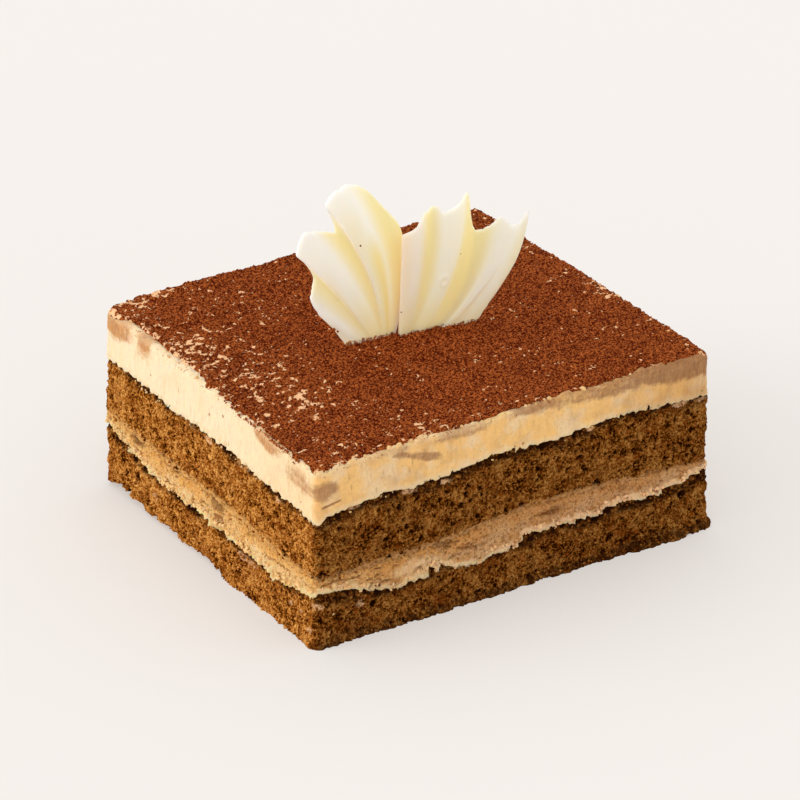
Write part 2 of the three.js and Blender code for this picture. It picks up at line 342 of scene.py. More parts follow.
class TiramisuColours(bpy.types.PropertyGroup):
    """Colours of the finishes."""

    sponge_tan: colour("Sponge tan", "Dry tips of the crumb", display(234, 171, 92))
    sponge_light: colour("Sponge light", "Golden crumb", display(203, 133, 60))
    sponge_dark: colour("Sponge dark", "Soaked crumb", display(147, 80, 17))
    # The pore colour is painted shade, deepest in the pores.
    sponge_pore_shade: colour("Sponge pore", "Inside of a pore", display(46, 16, 0))
    rust: colour("Rust", "Rusty patches in the crumb", display(138, 66, 16))
    # The crust colour also paints shade: at the top of each sponge under the layer above, and at the foot.
    crust: colour("Crust", "Soaked skin at the top of each sponge", display(44, 20, 8))
    # cream and cream_deep are lit and shaded copies of one cream: the deeper yellow is painted shade.
    cream: colour("Cream", "Pale custard cream on the lit sides", display(243, 220, 183))
    cream_deep: colour("Cream deep", "Deeper yellow of the cream on the shaded sides", display(246, 198, 124))
    fringe: colour("Fringe", "Whiter cream along torn edges", display(240, 212, 170))
    coffee: colour("Coffee cream", "Cream marbled with coffee", display(185, 136, 88))
    filling: colour("Filling", "Coffee cream between the sponges", display(238, 170, 78))
    lip: colour("Lip", "Paler coffee cream along the filling's lower edge", display(255, 222, 164))
    fleck: colour("Fleck", "Cream that shows through the cocoa", display(255, 202, 152))
    cocoa: colour("Cocoa", "Cocoa powder", display(188, 99, 45))
    cocoa_dark: colour("Cocoa dark", "Shade between the cocoa's grains", display(84, 22, 0))
    chocolate: colour("Chocolate", "White chocolate", display(255, 239, 219))
    # The crease colour is painted light: the yellow that a thin sheet lets through and throws back between
    # its folds.
    chocolate_crease: colour("Chocolate crease", "White chocolate in the creases", display(254, 206, 140))
    floor: colour("Floor", "Pale floor", display(188, 186, 184))


class TiramisuStage(bpy.types.PropertyGroup):
    """Camera and light."""

    view_azimuth: number("View azimuth", "Turn of the view from the -Y side", math.radians(-32.8), "ROTATION")
    view_elevation: number("View elevation", "Height of the view", math.radians(27), "ROTATION")
    view_distance: size("View distance", "From the camera to the point it looks at", 807.3)
    view_target: bpy.props.FloatVectorProperty(
        name="View target",
        description="Point the camera looks at",
        default=(0.00351, 0.00657, 0.01944),
        unit="LENGTH",
    )
    lens: number("Lens", "Focal length in millimetres", 180)
    sky: number("Sky", "Strength of the even light", 0.98)
    key: number("Key", "Strength of the soft light from the left", 1.45)


class Block:
    """The cut block in millimetres, worked out from the size settings.

    left, front and right say how far each outline point faces -X, -Y and +X. shaded says how far it faces
    away from the light: full on the front side, less on the +X side, and more where they meet. shade is
    the same, but stops at 1.
    """

    def __init__(self, sizes):
        self.half_length = sizes.length / MM / 2
        self.half_width = self.half_length * sizes.width_share
        self.height = sizes.length / MM * sizes.height_share
        self.radius = sizes.corner_radius / MM
        self.step = sizes.mesh_step / MM
        self.x, self.y, self.out_x, self.out_y = self.outline()
        self.edge = np.stack([self.x, self.y, np.zeros_like(self.x)], axis=-1)
        self.left = np.clip(-self.out_x, 0, 1)
        self.front = np.clip(-self.out_y, 0, 1)
        self.right = np.clip(self.out_x, 0, 1)
        self.shaded = self.front + 0.7 * self.right
        self.shade = np.clip(self.shaded, 0, 1)

    def outline(self):
        """Even points round the plan, anticlockwise, with their outward directions.

        Each corner is a quarter circle, followed by the straight side that leaves it.
        """
        arc = self.radius * TURN / 4
        runs = (2 * (self.half_length - self.radius), 2 * (self.half_width - self.radius))
        whole = 4 * arc + 2 * sum(runs)
        count = int(whole / self.step)
        distance = np.arange(count) * whole / count
        x, y, angle = (np.zeros_like(distance) for _ in range(3))
        start = 0.0
        for corner, ((side_x, side_y), _, _) in enumerate(CORNER_SHIFTS):
            run = runs[corner % 2]
            here = (distance >= start) & (distance < start + arc + run)
            travelled = distance[here] - start
            angle[here] = (corner + np.clip(travelled / arc, 0, 1)) * TURN / 4
            straight = np.clip(travelled - arc, 0, run)
            middle_x = side_x * (self.half_length - self.radius)
            middle_y = side_y * (self.half_width - self.radius)
            x[here] = middle_x + self.radius * np.cos(angle[here]) - straight * np.sin(angle[here])
            y[here] = middle_y + self.radius * np.sin(angle[here]) + straight * np.cos(angle[here])
            start += arc + run
        return x, y, np.cos(angle), np.sin(angle)

    def face(self, layer_face, x, y):
        """Height of a layer face: its level, plus tilt, plus a rise at the corners, plus sine waves."""
        along_x = x / self.half_length
        along_y = y / self.half_width
        height = layer_face.level * self.height + layer_face.tilt[0] * along_x + layer_face.tilt[1] * along_y
        height = height + layer_face.corner * (along_x * along_y) ** 4
        for wave, length, turn in layer_face.along_x:
            height = height + wave * np.sin(TURN * x / length + turn)
        for wave, length, turn in layer_face.along_y:
            height = height + wave * np.sin(TURN * y / length + turn)
        return height

    def line(self, layer_face):
        """Height of a layer face round the outline."""
        return self.face(layer_face, self.x, self.y)

    def level(self, layer_face):
        """A layer face as a function of place in plan."""
        return lambda x, y: self.face(layer_face, x, y)

    def cut(self, points):
        """Points of a true block moved by the four corners' shifts, shared out by place and height."""
        along_x = points[..., 0] / self.half_length
        along_y = points[..., 1] / self.half_width
        up = points[..., 2] / self.height
        moved = points.copy()
        for (side_x, side_y), foot, top in CORNER_SHIFTS:
            share = 0.25 * (1 + side_x * along_x) * (1 + side_y * along_y)
            moved[..., 0] += share * (foot[0] + (top[0] - foot[0]) * up)
            moved[..., 1] += share * (foot[1] + (top[1] - foot[1]) * up)
        return moved

    def side(self, low, high):
        """Points of a cut side: each stands on the outline, at a height blended from low to high."""
        rows = int(np.mean(high - low) / self.step)
        share = np.linspace(0, 1, rows + 1)[:, None]
        return np.stack(np.broadcast_arrays(self.x, self.y, low + (high - low) * share), axis=-1)

    def hollow(self, out_x, height):
        """How far the +X side is drawn in: nothing at the foot, most at the filling, little above it."""
        return np.clip(out_x, 0, 1) * (0.95 * soft_step(height, 0.5, 3) - 0.6 * soft_step(height, 18, 26))

    def push(self, points, out):
        """Side points moved outwards, less the hollow."""
        out = out - self.hollow(self.out_x, points[..., 2])
        moved = points.copy()
        moved[..., 0] += out * self.out_x
        moved[..., 1] += out * self.out_y
        return moved

    def beside(self, step, out, height):
        """Points outside the numbered outline points, out from them less the hollow, at the given heights."""
        out = out - self.hollow(self.out_x[step], height)
        x = self.x[step] + out * self.out_x[step]
        y = self.y[step] + out * self.out_y[step]
        return np.stack([x, y, height], axis=-1)

    def cap(self, height_at, shares):
        """Rings inside the outline: the outline shrunk to each share, at the height given there."""
        shares = np.array(shares)[:, None]
        x = self.x * shares
        y = self.y * shares
        return np.stack([x, y, np.broadcast_to(height_at(x, y), x.shape)], axis=-1)


# Noise: a seed picks one of many alike


def lattice_value(cells, seed):
    """A repeatable number from 0 to 1 for each cell: its whole-number indices mixed and shifted."""
    mask = 0xFFFFFFFF
    mixed = (cells[..., 0] * 73856093) ^ (cells[..., 1] * 19349663) ^ (cells[..., 2] * 83492791)
    mixed = (mixed ^ (seed * 2654435761)) & mask
    for shift, factor in ((15, 2246822519), (13, 3266489917)):
        mixed = ((mixed ^ (mixed >> shift)) * factor) & mask
    return (mixed ^ (mixed >> 16)) / mask


def smooth_noise(points, cell, seed):
    """Noise from 0 to 1: the values of the eight cell corners round a point, blended smoothly."""
    scaled = points / np.asarray(cell, dtype=float)
    low = np.floor(scaled)
    blend = scaled - low
    blend = blend * blend * (3 - 2 * blend)
    low = low.astype(np.int64)
    total = np.zeros(points.shape[:-1])
    for corner in itertools.product((0, 1), repeat=3):
        weight = np.where(corner, blend, 1 - blend).prod(axis=-1)
        total += weight * lattice_value(low + np.array(corner), seed)
    return total


def layered_noise(points, cell, seed, octaves=3):
    """Noise from -1 to 1: each finer octave has half the cell and half the weight of the one before."""
    cell = np.asarray(cell, dtype=float)
    weights = 0.5 ** np.arange(octaves)
    total = np.zeros(points.shape[:-1])
    for octave, weight in enumerate(weights):
        total += weight * (2 * smooth_noise(points, cell * weight, seed + octave) - 1)
    return total / weights.sum()


def nearest_seed(points, cell, seed):
    """Distance in cells to the nearest random point, of which each cell has one, and that point's number."""
    scaled = points / np.asarray(cell, dtype=float)
    low = np.floor(scaled).astype(np.int64)
    nearest = np.full(points.shape[:-1], 9.0)
    own = np.zeros(points.shape[:-1])
    for step in itertools.product((-1, 0, 1), repeat=3):
        cells = low + np.array(step)
        spot = cells + np.stack([lattice_value(cells, seed + axis) for axis in range(3)], axis=-1)
        away = np.linalg.norm(scaled - spot, axis=-1)
        closer = away < nearest
        nearest = np.where(closer, away, nearest)
        own = np.where(closer, lattice_value(cells, seed + 3), own)
    return nearest, own


def warped(points, cell, reach, seed):
    """Points moved by noise: along each axis by its own noise of that cell size, up to reach."""
    moves = [layered_noise(points, cell, seed + 10 * axis, 2) for axis in range(3)]
    return points + reach * np.stack(moves, axis=-1)


def uneven_edge(points, seed, broad, fine):
    """An uneven line: broad swells of 6 mm and teeth of 1.2 mm."""
    return broad * layered_noise(points, 6.0, seed, 2) + fine * layered_noise(points, 1.2, seed + 7, 2)


def soft_step(value, start, end):
    """0 before start, 1 after end, and a smooth rise between."""
    share = np.clip((value - start) / (end - start), 0, 1)
    return share * share * (3 - 2 * share)


# Meshes


def make_piece(name, points, faces, finish, node=None, values=None):
    """A smooth mesh object at the origin, riding on the slice.

    points are in millimetres, faces are arrays of point numbers, and values are named numbers kept at each
    point.
    """
    mesh = bpy.data.meshes.new(name)
    mesh.vertices.add(len(points))
    mesh.vertices.foreach_set("co", (points * MM).astype(np.float32).ravel())
    counts = np.concatenate([np.full(len(some), some.shape[1]) for some in faces])
    corners = np.concatenate([some.ravel() for some in faces])
    mesh.loops.add(len(corners))
    mesh.loops.foreach_set("vertex_index", corners.astype(np.int32))
    mesh.polygons.add(len(counts))
    mesh.polygons.foreach_set("loop_start", (np.cumsum(counts) - counts).astype(np.int32))
    mesh.polygons.foreach_set("use_smooth", np.ones(len(counts), dtype=bool))
    for key, numbers in (values or {}).items():
        attribute = mesh.attributes.new(key, "FLOAT", "POINT")
        attribute.data.foreach_set("value", numbers.astype(np.float32).ravel())
    mesh.update(calc_edges=True)
    mesh.validate()
    mesh.materials.append(finish)
    piece = bpy.data.objects.new(name, mesh)
    bpy.context.scene.collection.objects.link(piece)
    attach(piece, BODY)
    if node:
        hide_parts(node)
    return piece


def grid_numbers(columns, rows):
    """The point numbers of a grid."""
    return np.arange(columns * rows).reshape(columns, rows)


def grid_quads(numbers):
    """The quads of a grid of point numbers."""
    corners = (numbers[:-1, :-1], numbers[1:, :-1], numbers[1:, 1:], numbers[:-1, 1:])
    return np.stack(corners, axis=-1).reshape(-1, 4)


def grid_border(numbers):
    """The point numbers round a grid, each once."""
    return np.concatenate([numbers[:, 0], numbers[-1, 1:], numbers[-2::-1, -1], numbers[0, -2:0:-1]])


def ring_faces(rings, count):
    """Faces of a closed solid of rings, from the bottom up: quads, and triangles to a point at each end."""
    step = np.arange(count)
    after = (step + 1) % count
    low = np.arange(rings - 1)[:, None] * count
    corners = (low + step, low + after, low + count + after, low + count + step)
    bottom = np.full(count, rings * count)
    last = (rings - 1) * count
    below = np.stack([bottom, after, step], axis=-1)
    above = np.stack([bottom + 1, last + step, last + after], axis=-1)
    return [np.stack(corners, axis=-1).reshape(-1, 4), np.concatenate([below, above])]


def layer_piece(block, names, finish, side, floor_at, top_at, values, top_shares=CAP_SHARES):
    """A closed layer of rings: from the middle of the underside, up the side, to the middle of the top.

    names are those of the piece, the node it replaces and its slot, which is not used. Values are given for
    the side or round the outline, and the rings below and above repeat those of the edge that they start
    from.
    """
    name, node, slot = names
    below = block.cap(floor_at, CAP_SHARES[::-1])
    above = block.cap(top_at, top_shares)
    rings = block.cut(np.concatenate([below, side, above]))
    ends = np.stack([rings[0].mean(axis=0), rings[-1].mean(axis=0)])
    points = np.concatenate([rings.reshape(-1, 3), ends])
    row = np.clip(np.arange(len(rings)) - len(below), 0, len(side) - 1)
    kept = {}
    for key, numbers in values.items():
        numbers = np.broadcast_to(numbers, side.shape[:2])[row]
        kept[key] = np.concatenate([numbers.ravel(), np.zeros(len(ends))])
    return make_piece(name, points, ring_faces(*rings.shape[:2]), finish, node, kept)


def twenty_sided():
    """Corners and outward triangles of a regular twenty-sided solid, from the golden ratio."""
    golden = (1 + math.sqrt(5)) / 2
    base = np.array([(0, a, b * golden) for a in (-1, 1) for b in (-1, 1)])
    corners = np.concatenate([np.roll(base, turn, axis=1) for turn in range(3)])
    apart = np.linalg.norm(corners[:, None] - corners[None], axis=-1)
    triangles = []
    for three in itertools.combinations(range(len(corners)), 3):
        if all(apart[a, b] < 2.1 for a, b in itertools.combinations(three, 2)):
            outward = np.linalg.det(corners[list(three)]) > 0
            triangles.append(three if outward else three[::-1])
    return corners / np.linalg.norm(corners[0]), np.array(triangles)


def lumps(centres, radii, draw):
    """Points and faces of small uneven grains: twenty-sided solids stretched, turned and dented at random."""
    corners, triangles = twenty_sided()
    count = len(centres)
    turns = np.linalg.qr(draw.normal(size=(count, 3, 3)))[0]
    turns[..., 0] *= np.sign(np.linalg.det(turns))[:, None]
    dents = draw.uniform(0.7, 1.25, (count, len(corners), 1))
    stretch = draw.uniform(0.65, 1.2, (count, 1, 3))
    shaped = np.einsum("nij,nkj->nki", turns, corners * dents * stretch)
    points = centres[:, None] + shaped * radii[:, None, None]
    faces = triangles + len(corners) * np.arange(count)[:, None, None]
    return points.reshape(-1, 3), [faces.reshape(-1, 3)]


# Sponge


def pore_depth_at(points, cell, least, most, rarity, seed):
    """Depth of the round pore that a point is in, in millimetres: the fall of a sphere's wall.

    Each cell has one pore, whose reach goes from least to most by the pore's own number raised to rarity.
    """
    away, own = nearest_seed(points, cell, seed)
    reach = least + (most - least) * own**rarity
    return cell * reach * np.sqrt(np.clip(1 - (away / reach) ** 2, 0, 1))


def sponge_relief(points, sizes):
    """How far the crumb stands out, and how deep in a pore each point is.

    Lumps are layered noise. Pores are round dips whose rims are bent by noise, the deepest one counting.
    """
    broad = layered_noise(points, 4.5, 11, 2)
    middling = layered_noise(points, 1.8, 13, 2)
    fine = layered_noise(points, 0.8, 17, 2)
    bent = warped(points, 0.9, 0.3, 19)
    depth = np.zeros(points.shape[:-1])
    for kind, pore in enumerate(PORES):
        depth = np.maximum(depth, pore_depth_at(bent, *pore, 23 + 8 * kind))
    out = sizes.crumb_relief / MM * (0.8 * broad + 0.5 * middling + 0.7 * fine) - sizes.pore_depth * depth
    return out + 0.2, np.clip(1.5 * depth - 0.2 * fine, 0, 1)


def back_left(block):
    """How far each outline point is on the back half of the left side, where the foot is raised."""
    return block.left * soft_step(block.y, -10, 0) * (1 - 0.4 * soft_step(block.y, 38, 41))


def left_dip(block):
    """The dip of the filling in the middle of the left side: a bell along Y."""
    return block.left * np.exp(-(((block.y - 2) / 12) ** 2))


def ragged_foot(block, seed):
    """Lower edge of the lower sponge: on the floor, but torn and raised at the back of the left side."""
    raised = back_left(block)
    ragged = (0.3 + 0.7 * raised) * uneven_edge(block.edge, seed, 0.4, 0.7)
    lift = 1.1 + 0.9 * soft_step(block.y, 22, 34)
    return np.clip(lift * raised - 0.2 + ragged, 0, FOOT_MOST)


def raised_floor(block, low):
    """Underside of the lower sponge as a function of place: on the floor inside, at low near the outline."""

    def height_at(x, y):
        reach = np.maximum(np.abs(x) / block.half_length, np.abs(y) / block.half_width)
        return low * soft_step(reach, 0.5, 0.98)

    return height_at


def foot_spread(block):
    """Spread of the lower sponge at its foot: less where it is raised, most at the far right of the front."""
    far_right = soft_step(block.x, 15, 30) * (1 - soft_step(block.x, 37, 43))
    return 0.6 - 0.8 * back_left(block) + block.front * (0.25 + 0.7 * far_right)


def sponge_layer(block, sizes, finish, names, low_face, high_face, seed):
    """A sponge with rough, porous cut sides and a dark skin at its top edge.

    The upper sponge has filling smeared on its lower edge. The lower one has no low_face and stands on the
    floor, with painted shade at its foot on its shaded sides. The dark skin at the top is partly crust and
    partly painted shade: under the layer above, and deeper on the shaded sides.
    """
    high = block.line(high_face) + 0.35 + uneven_edge(block.edge, seed, 0.2, 0.3)
    if low_face:
        high = high + 0.35
        low = block.line(low_face) - 0.9 + uneven_edge(block.edge, seed + 3, 0.2, 0.3)
        floor_at = block.level(low_face)
        spread = -0.45
    else:
        low = ragged_foot(block, seed + 3)
        floor_at = raised_floor(block, low)
        spread = foot_spread(block)
    side = block.side(low, high)
    # pore is how deep in a pore each point is; the finish paints shade there.
    out, pore = sponge_relief(side, sizes)
    height = side[..., 2]
    below_top = high - height
    above_foot = height - low
    # The skin deepens on the sides that face away from the light: painted shade on a real crust.
    skin_depth = 1.5 + 1.2 * block.shaded + 0.9 * layered_noise(block.edge, 5.0, seed + 5, 2)
    skin = 1 - soft_step(below_top, 0.5 * skin_depth, skin_depth + 0.6)
    if low_face:
        smear_height = 4.0 - 2.0 * block.shade * soft_step(block.x, -35, -10) - 1.7 * left_dip(block)
        smear = 1 - soft_step(above_foot, 0.3 * smear_height, smear_height)
        shaded_side = 0.92 * block.shade
    else:
        # Painted shade at the foot of the shaded sides, carried in the skin value.
        painted_foot_shade = 1 - soft_step(height + 0.8 * layered_noise(side, 1.6, seed + 9, 2), 0.9, 2.6)
        skin = np.maximum(skin, 0.8 * painted_foot_shade * block.shade)
        smear = 0.0
        shaded_side = block.shade
    out = out - 0.35 * (1 - soft_step(below_top, 0.3, 1.6)) + spread * (1 - soft_step(above_foot, 0.0, 1.8))
    # shaded_side paints shade on the crumb of the sides that face away from the light, a little less on the
    # upper sponge.
    values = {"pore": pore, "skin": skin, "smear": smear, "shaded_side": shaded_side, "chalk": blob_mask(side, SKIN_CHALK)}
    return layer_piece(block, names, finish, block.push(side, out), floor_at, block.level(high_face), values)


# Cream


def blob_mask(points, blobs):
    """The strongest soft blob at each point, falling from its middle to an edge bent by noise."""
    bend = 0.3 * layered_noise(points, (5.0, 5.0, 2.2), 41, 3)
    mask = np.zeros(points.shape[:-1])
    for middle, half, strength in blobs:
        away = np.linalg.norm((points - np.array(middle)) / np.array(half), axis=-1) + bend
        mask = np.maximum(mask, strength * (1 - soft_step(away, 0.25, 1.15)))
    return mask


def band_mask(points, high):
    """How far a point is inside the coffee band, which deepens along X and has a wavy foot."""
    x = points[..., 0]
    depth = COFFEE_BAND_DEPTH * sum(share * soft_step(x, start, end) for start, end, share in COFFEE_BAND)
    strength = (0.75 + 0.3 * soft_step(x, 4, 36)) * soft_step(depth, 0.1, 1.2)
    depth = depth + 0.7 * layered_noise(points, (5.0, 5.0, 30.0), 43, 3)
    return strength * soft_step(depth - (high - points[..., 2]), -1.2, 1.0)


def crack_mask(points, cracks):
    """Thin cracks: 1 on each crack's line, falling to 0 at its half width."""
    mask = np.zeros(points.shape[:-1])
    for start, end, half in cracks:
        line = np.subtract(end, start)
        share = np.clip(((points - start) @ line) / (line @ line), 0, 1)
        away = np.linalg.norm(points - (start + share[..., None] * line), axis=-1)
        mask = np.maximum(mask, 1 - soft_step(away, 0.3 * half, half))
    return mask


def cream_layer(block, sizes, finish):
    """The thick top cream: knife streaks up its cut sides, an uneven lower edge and a softened upper one.

    Streaks are noise stretched upwards. The upper edge turns in on a small radius, larger at the back left.
    """
    sag = 0.65 * block.front * soft_step(block.x, 17, 26) + 1.4 * block.left * soft_step(-block.y, 34, 40)
    low = block.line(MIDDLE_TOP) + 0.2 - sag + uneven_edge(block.edge, 53, 0.45, 0.45)
    low = low + 0.2 * layered_noise(block.edge, 0.55, 57, 2)
    bead_away, bead_size = nearest_seed(block.edge, 1.9, 63)
    beads = np.clip(0.8 - bead_away, 0, 1) * bead_size * block.front
    high = block.line(CREAM_TOP) + 0.05 + uneven_edge(block.edge, 59, 0.25, 0.4) + 1.8 * beads
    side = block.side(low, high)
    height = side[..., 2]
    streaks = layered_noise(side, (1.0, 1.0, 6.0), 61, 3)
    swell = layered_noise(side, (9.0, 9.0, 5.0), 67, 2)
    rough = layered_noise(side, 0.7, 69, 2)
    away, width = nearest_seed(side, 3.1, 71)
    # Pits and cracks are dented in, and the finish paints shade in them.
    pits = np.clip(1 - away / (0.03 + 0.12 * width**3), 0, 1)
    cracks = crack_mask(side, CREAM_CRACKS)
    torn = 1 - soft_step(height - low, 0.3, 1.6)
    edge_radius = 0.6 + 0.7 * block.left * soft_step(block.y, -10, 4)
    turned = np.clip((height - (high - edge_radius)) / edge_radius, 0, 1)
    out = 0.25 + 0.25 * swell + sizes.streak_relief / MM * streaks - 0.4 * pits
    out = out - edge_radius * (1 - np.sqrt(1 - turned**2 * 0.98))
    out = out - 0.35 * cracks + (0.1 + 0.35 * torn) * rough
    # shade paints the cream deeper where it faces away from the light, and towards the front of the left
    # side.
    shade = np.clip(block.shaded + 0.4 * block.left * soft_step(-block.y, 5, 40), 0, 1)
    bare = 0.6 * (1 - soft_step(block.x, -6, 6))
    coffee = np.maximum(blob_mask(side, COFFEE_BLOBS), band_mask(side, high))
    values = {
        "coffee": np.maximum(coffee, 0.9 * crack_mask(warped(side, 2.0, 0.6, 45), COFFEE_STREAKS)),
        "dust": soft_step(height, high - 3.0, high),
        "pit": np.maximum(pits, cracks),
        "shade": shade,
        "fringe": np.maximum(torn, bare * soft_step(height, high - 1.6, high - 0.2)),
        # far paints the shaded cream darker towards +X: painted shade.
        "far": soft_step(block.x, 10, 44) * shade,
    }
    names = ("top_cream", "cream_top", "cream")
    side = block.push(side, out)
    floor_at = block.level(MIDDLE_TOP)
    return layer_piece(block, names, finish, side, floor_at, block.level(CREAM_TOP), values, CREAM_CAP_SHARES)


def tongue_drop(block):
    """How far the lip hangs down at each outline point: a tongue grows over 5 mm and ends in a short step."""
    drop = np.zeros_like(block.x)
    for (out_x, out_y), start, end, depth in LIP_TONGUES:
        along = block.y if out_x else block.x
        here = block.out_x * out_x + block.out_y * out_y > 0.7
        shape = soft_step(along, start, start + 5) * (1 - soft_step(along, end - 0.9, end))
        drop = np.maximum(drop, depth * shape * here)
    return drop


def lip_line(block):
    """Lower edge of the filling round the block: its face lifted, with tongues, teeth and swells."""
    away, own = nearest_seed(block.edge, 1.3, 93)
    teeth = np.clip(0.62 - away, 0, 1) * (0.3 + 1.1 * own)
    lift = 0.6 + block.left * (0.25 + 0.35 * soft_step(block.y, 14, 24))
    lift = lift + 0.7 * block.front * (1 - soft_step(block.x, -43, -36))
    line = block.line(BASE_TOP) + lift - teeth - tongue_drop(block)
    return line + uneven_edge(block.edge, 73, 0.35, 0.45) + 0.2 * layered_noise(block.edge, 0.55, 77, 2)


def filling_shade(block):
    """Painted shade on the filling at each outline point: on the shaded sides, more so towards +X."""
    return block.shade * soft_step(block.x, -90, 20)


def filling_bits(block, finish):
    """Lumps of filling along its lower edge, most of them small."""
    draw = np.random.default_rng(LIP_SEED)
    step = draw.integers(0, len(block.x), LIP_BITS)
    height = lip_line(block)[step] + draw.uniform(-0.2, 1.4, LIP_BITS)
    spots = block.beside(step, 0.4, height)
    points, faces = lumps(block.cut(spots), 0.14 + 0.4 * draw.random(LIP_BITS) ** 2, draw)
    shade = np.repeat(filling_shade(block)[step], len(points) // LIP_BITS)
    return make_piece("filling_bits", points, faces, finish, values={"shade": shade})


def filling_layer(block, finish):
    """The coffee cream between the sponges: torn sides, a fuzzy upper edge and lumps over the lower one.

    Tears are noise stretched along the layer, and lumps are domes about random points.
    """
    low = lip_line(block)
    corner = np.exp(-((block.x + block.half_length) ** 2 + (block.y + block.half_width) ** 2) / 36)
    high = block.line(FILLING_TOP) + 0.6 + 1.2 * corner - 1.1 * left_dip(block)
    high = high + uneven_edge(block.edge, 79, 0.4, 0.3)
    side = block.side(low, high)
    height = side[..., 2]
    share = (height - low) / (high - low)
    # Tears and pits are dented in, and the finish paints shade in them.
    tears = layered_noise(warped(side, 1.2, 0.5, 81), (4.0, 4.0, 0.8), 83, 3)
    torn = np.maximum(soft_step(tears, 0.3, 0.45), crack_mask(side, FILLING_CRACKS))
    pits = pore_depth_at(side, 1.2, 0.04, 0.3, 2, 87)
    lump_away, lump_own = nearest_seed(side, 1.3, 93)
    lump = np.clip(0.62 - lump_away, 0, 1) * (0.5 + lump_own)
    swell = layered_noise(side, 3.0, 89, 2)
    rough = layered_noise(side, 0.9, 91, 3)
    lip_height = 1.6 + 1.0 * layered_noise(block.edge, 4.0, 97, 2)
    kept = soft_step(layered_noise(block.edge, 5.0, 99, 2), -0.25, 0.15)
    kept = 0.45 + 0.55 * np.maximum(kept, 0.7 * block.shade)
    lip = kept * (1 - soft_step(height - low, 0.3 * lip_height, lip_height + 0.3))
    hanging = soft_step(block.line(BASE_TOP) + 0.8 - height, 0.0, 0.9)
    out = 0.1 + 0.35 * swell + 0.5 * rough + 0.3 * lump - 0.6 * torn - 1.5 * pits
    out = out + lip * (0.1 + 1.3 * lump) + 0.45 * hanging - 0.8 * soft_step(share, 0.7, 1.0)
    values = {
        "share": share,
        "torn": np.clip(torn + 3 * pits, 0, 1),
        "lip": np.maximum(lip, blob_mask(side, FILLING_PALE)),
        "blot": blob_mask(side, FILLING_BLOTS),
        "shade": filling_shade(block),
    }
    names = ("coffee_filling", "cream_filling", "filling")
    side = block.push(side, out)
    return layer_piece(block, names, finish, side, block.level(BASE_TOP), block.level(FILLING_TOP), values)


# Fans


def rim_at(rim, u):
    """Points of the rim for u from 0 to 1: a cubic between each two rim points.

    Its slopes come from the points before and after, paced by the square roots of the distances between them.
    """
    knots = np.array(rim)
    knots = np.concatenate([2 * knots[:1] - knots[1:2], knots, 2 * knots[-1:] - knots[-2:-1]])
    along = u * (len(rim) - 1)
    first = np.minimum(along.astype(int), len(rim) - 2)
    t = (along - first)[:, None]
    p0, p1, p2, p3 = (knots[first + k] for k in range(4))
    pairs = ((p0, p1), (p1, p2), (p2, p3))
    d0, d1, d2 = (np.sqrt(np.linalg.norm(b - a, axis=1))[:, None] for a, b in pairs)
    leave = d1 * ((p1 - p0) / d0 - (p2 - p0) / (d0 + d1) + (p2 - p1) / d1)
    arrive = d1 * ((p2 - p1) / d1 - (p3 - p1) / (d1 + d2) + (p3 - p2) / d2)
    square = 3 * (p2 - p1) - 2 * leave - arrive
    cube = 2 * (p1 - p2) + leave + arrive
    return p1 + t * leave + t**2 * square + t**3 * cube


def soft_pleat(rim, u):
    """How far the rim stands out towards the front, averaged over a short span so that folds are round."""
    spans = np.clip(u[:, None] + PLEAT_SPAN * np.linspace(-1, 1, 5), 0, 1)
    return rim_at(rim, spans.ravel())[:, 2].reshape(spans.shape).mean(axis=1)


def fan_sheet(fan, u, v):
    """Middle sheet of a fan in its own frame, u across and v up: each rib is an arc from gather to rim."""
    rim = rim_at(fan.rim, u)
    chips = RIM_CHIP * np.clip(layered_noise(rim, 0.9, 133, 2), 0, 1)[:, None] * soft_step(v, 0.8, 1.0)
    rim = rim[:, None]
    foot_along = (fan.gather[0] + (fan.gather[1] - fan.gather[0]) * u)[:, None]
    chord_along = rim[..., 0] - foot_along
    chord_up = rim[..., 1] + FAN_SINK
    chord = np.hypot(chord_along, chord_up)
    v = v - chips / chord
    arch = 4 * v * (1 - v) * fan.bow(u)[:, None] / chord
    along = foot_along + v * chord_along + arch * chord_up
    up = -FAN_SINK + v * chord_up - arch * chord_along
    return along, PLEAT_SHARE * soft_pleat(fan.rim, u)[:, None] * v**PLEAT_FADE, up


def fan_place(block, fan, along, out, up):
    """A fan's own frame carried to the block: leaned back about the seat, then turned on it."""
    y = -out * math.cos(FAN_LEAN) + up * math.sin(FAN_LEAN)
    z = out * math.sin(FAN_LEAN) + up * math.cos(FAN_LEAN)
    x = along * math.cos(FAN_TURN) - y * math.sin(FAN_TURN)
    y = along * math.sin(FAN_TURN) + y * math.cos(FAN_TURN)
    return np.stack([x + fan.seat[0], y + fan.seat[1], z + block.height], axis=-1)


def fan_crease(fan, u, v):
    """Painted yellow light on a fan: in its pleats, along its last edge, in its folds and towards its foot.
    """
    crease = soft_step(-soft_pleat(fan.rim, u), -1.4, 1.0)[:, None] * v**0.2
    crease = np.maximum(crease, fan.rim_tint * soft_step(u, 0.74, 0.84)[:, None] * soft_step(v, 0.6, 0.95))
    for middle, half_width, end, strength in fan.folds:
        across = 1 - soft_step(np.abs(u - middle), 0.0, half_width)[:, None]
        crease = np.maximum(crease, strength * across * (1 - soft_step(v, end - 0.25, end)))
    crease = np.maximum(crease, 0.8 * soft_step(1 - v, 0.4, 1.0))
    return fan.tint + (1 - fan.tint) * crease


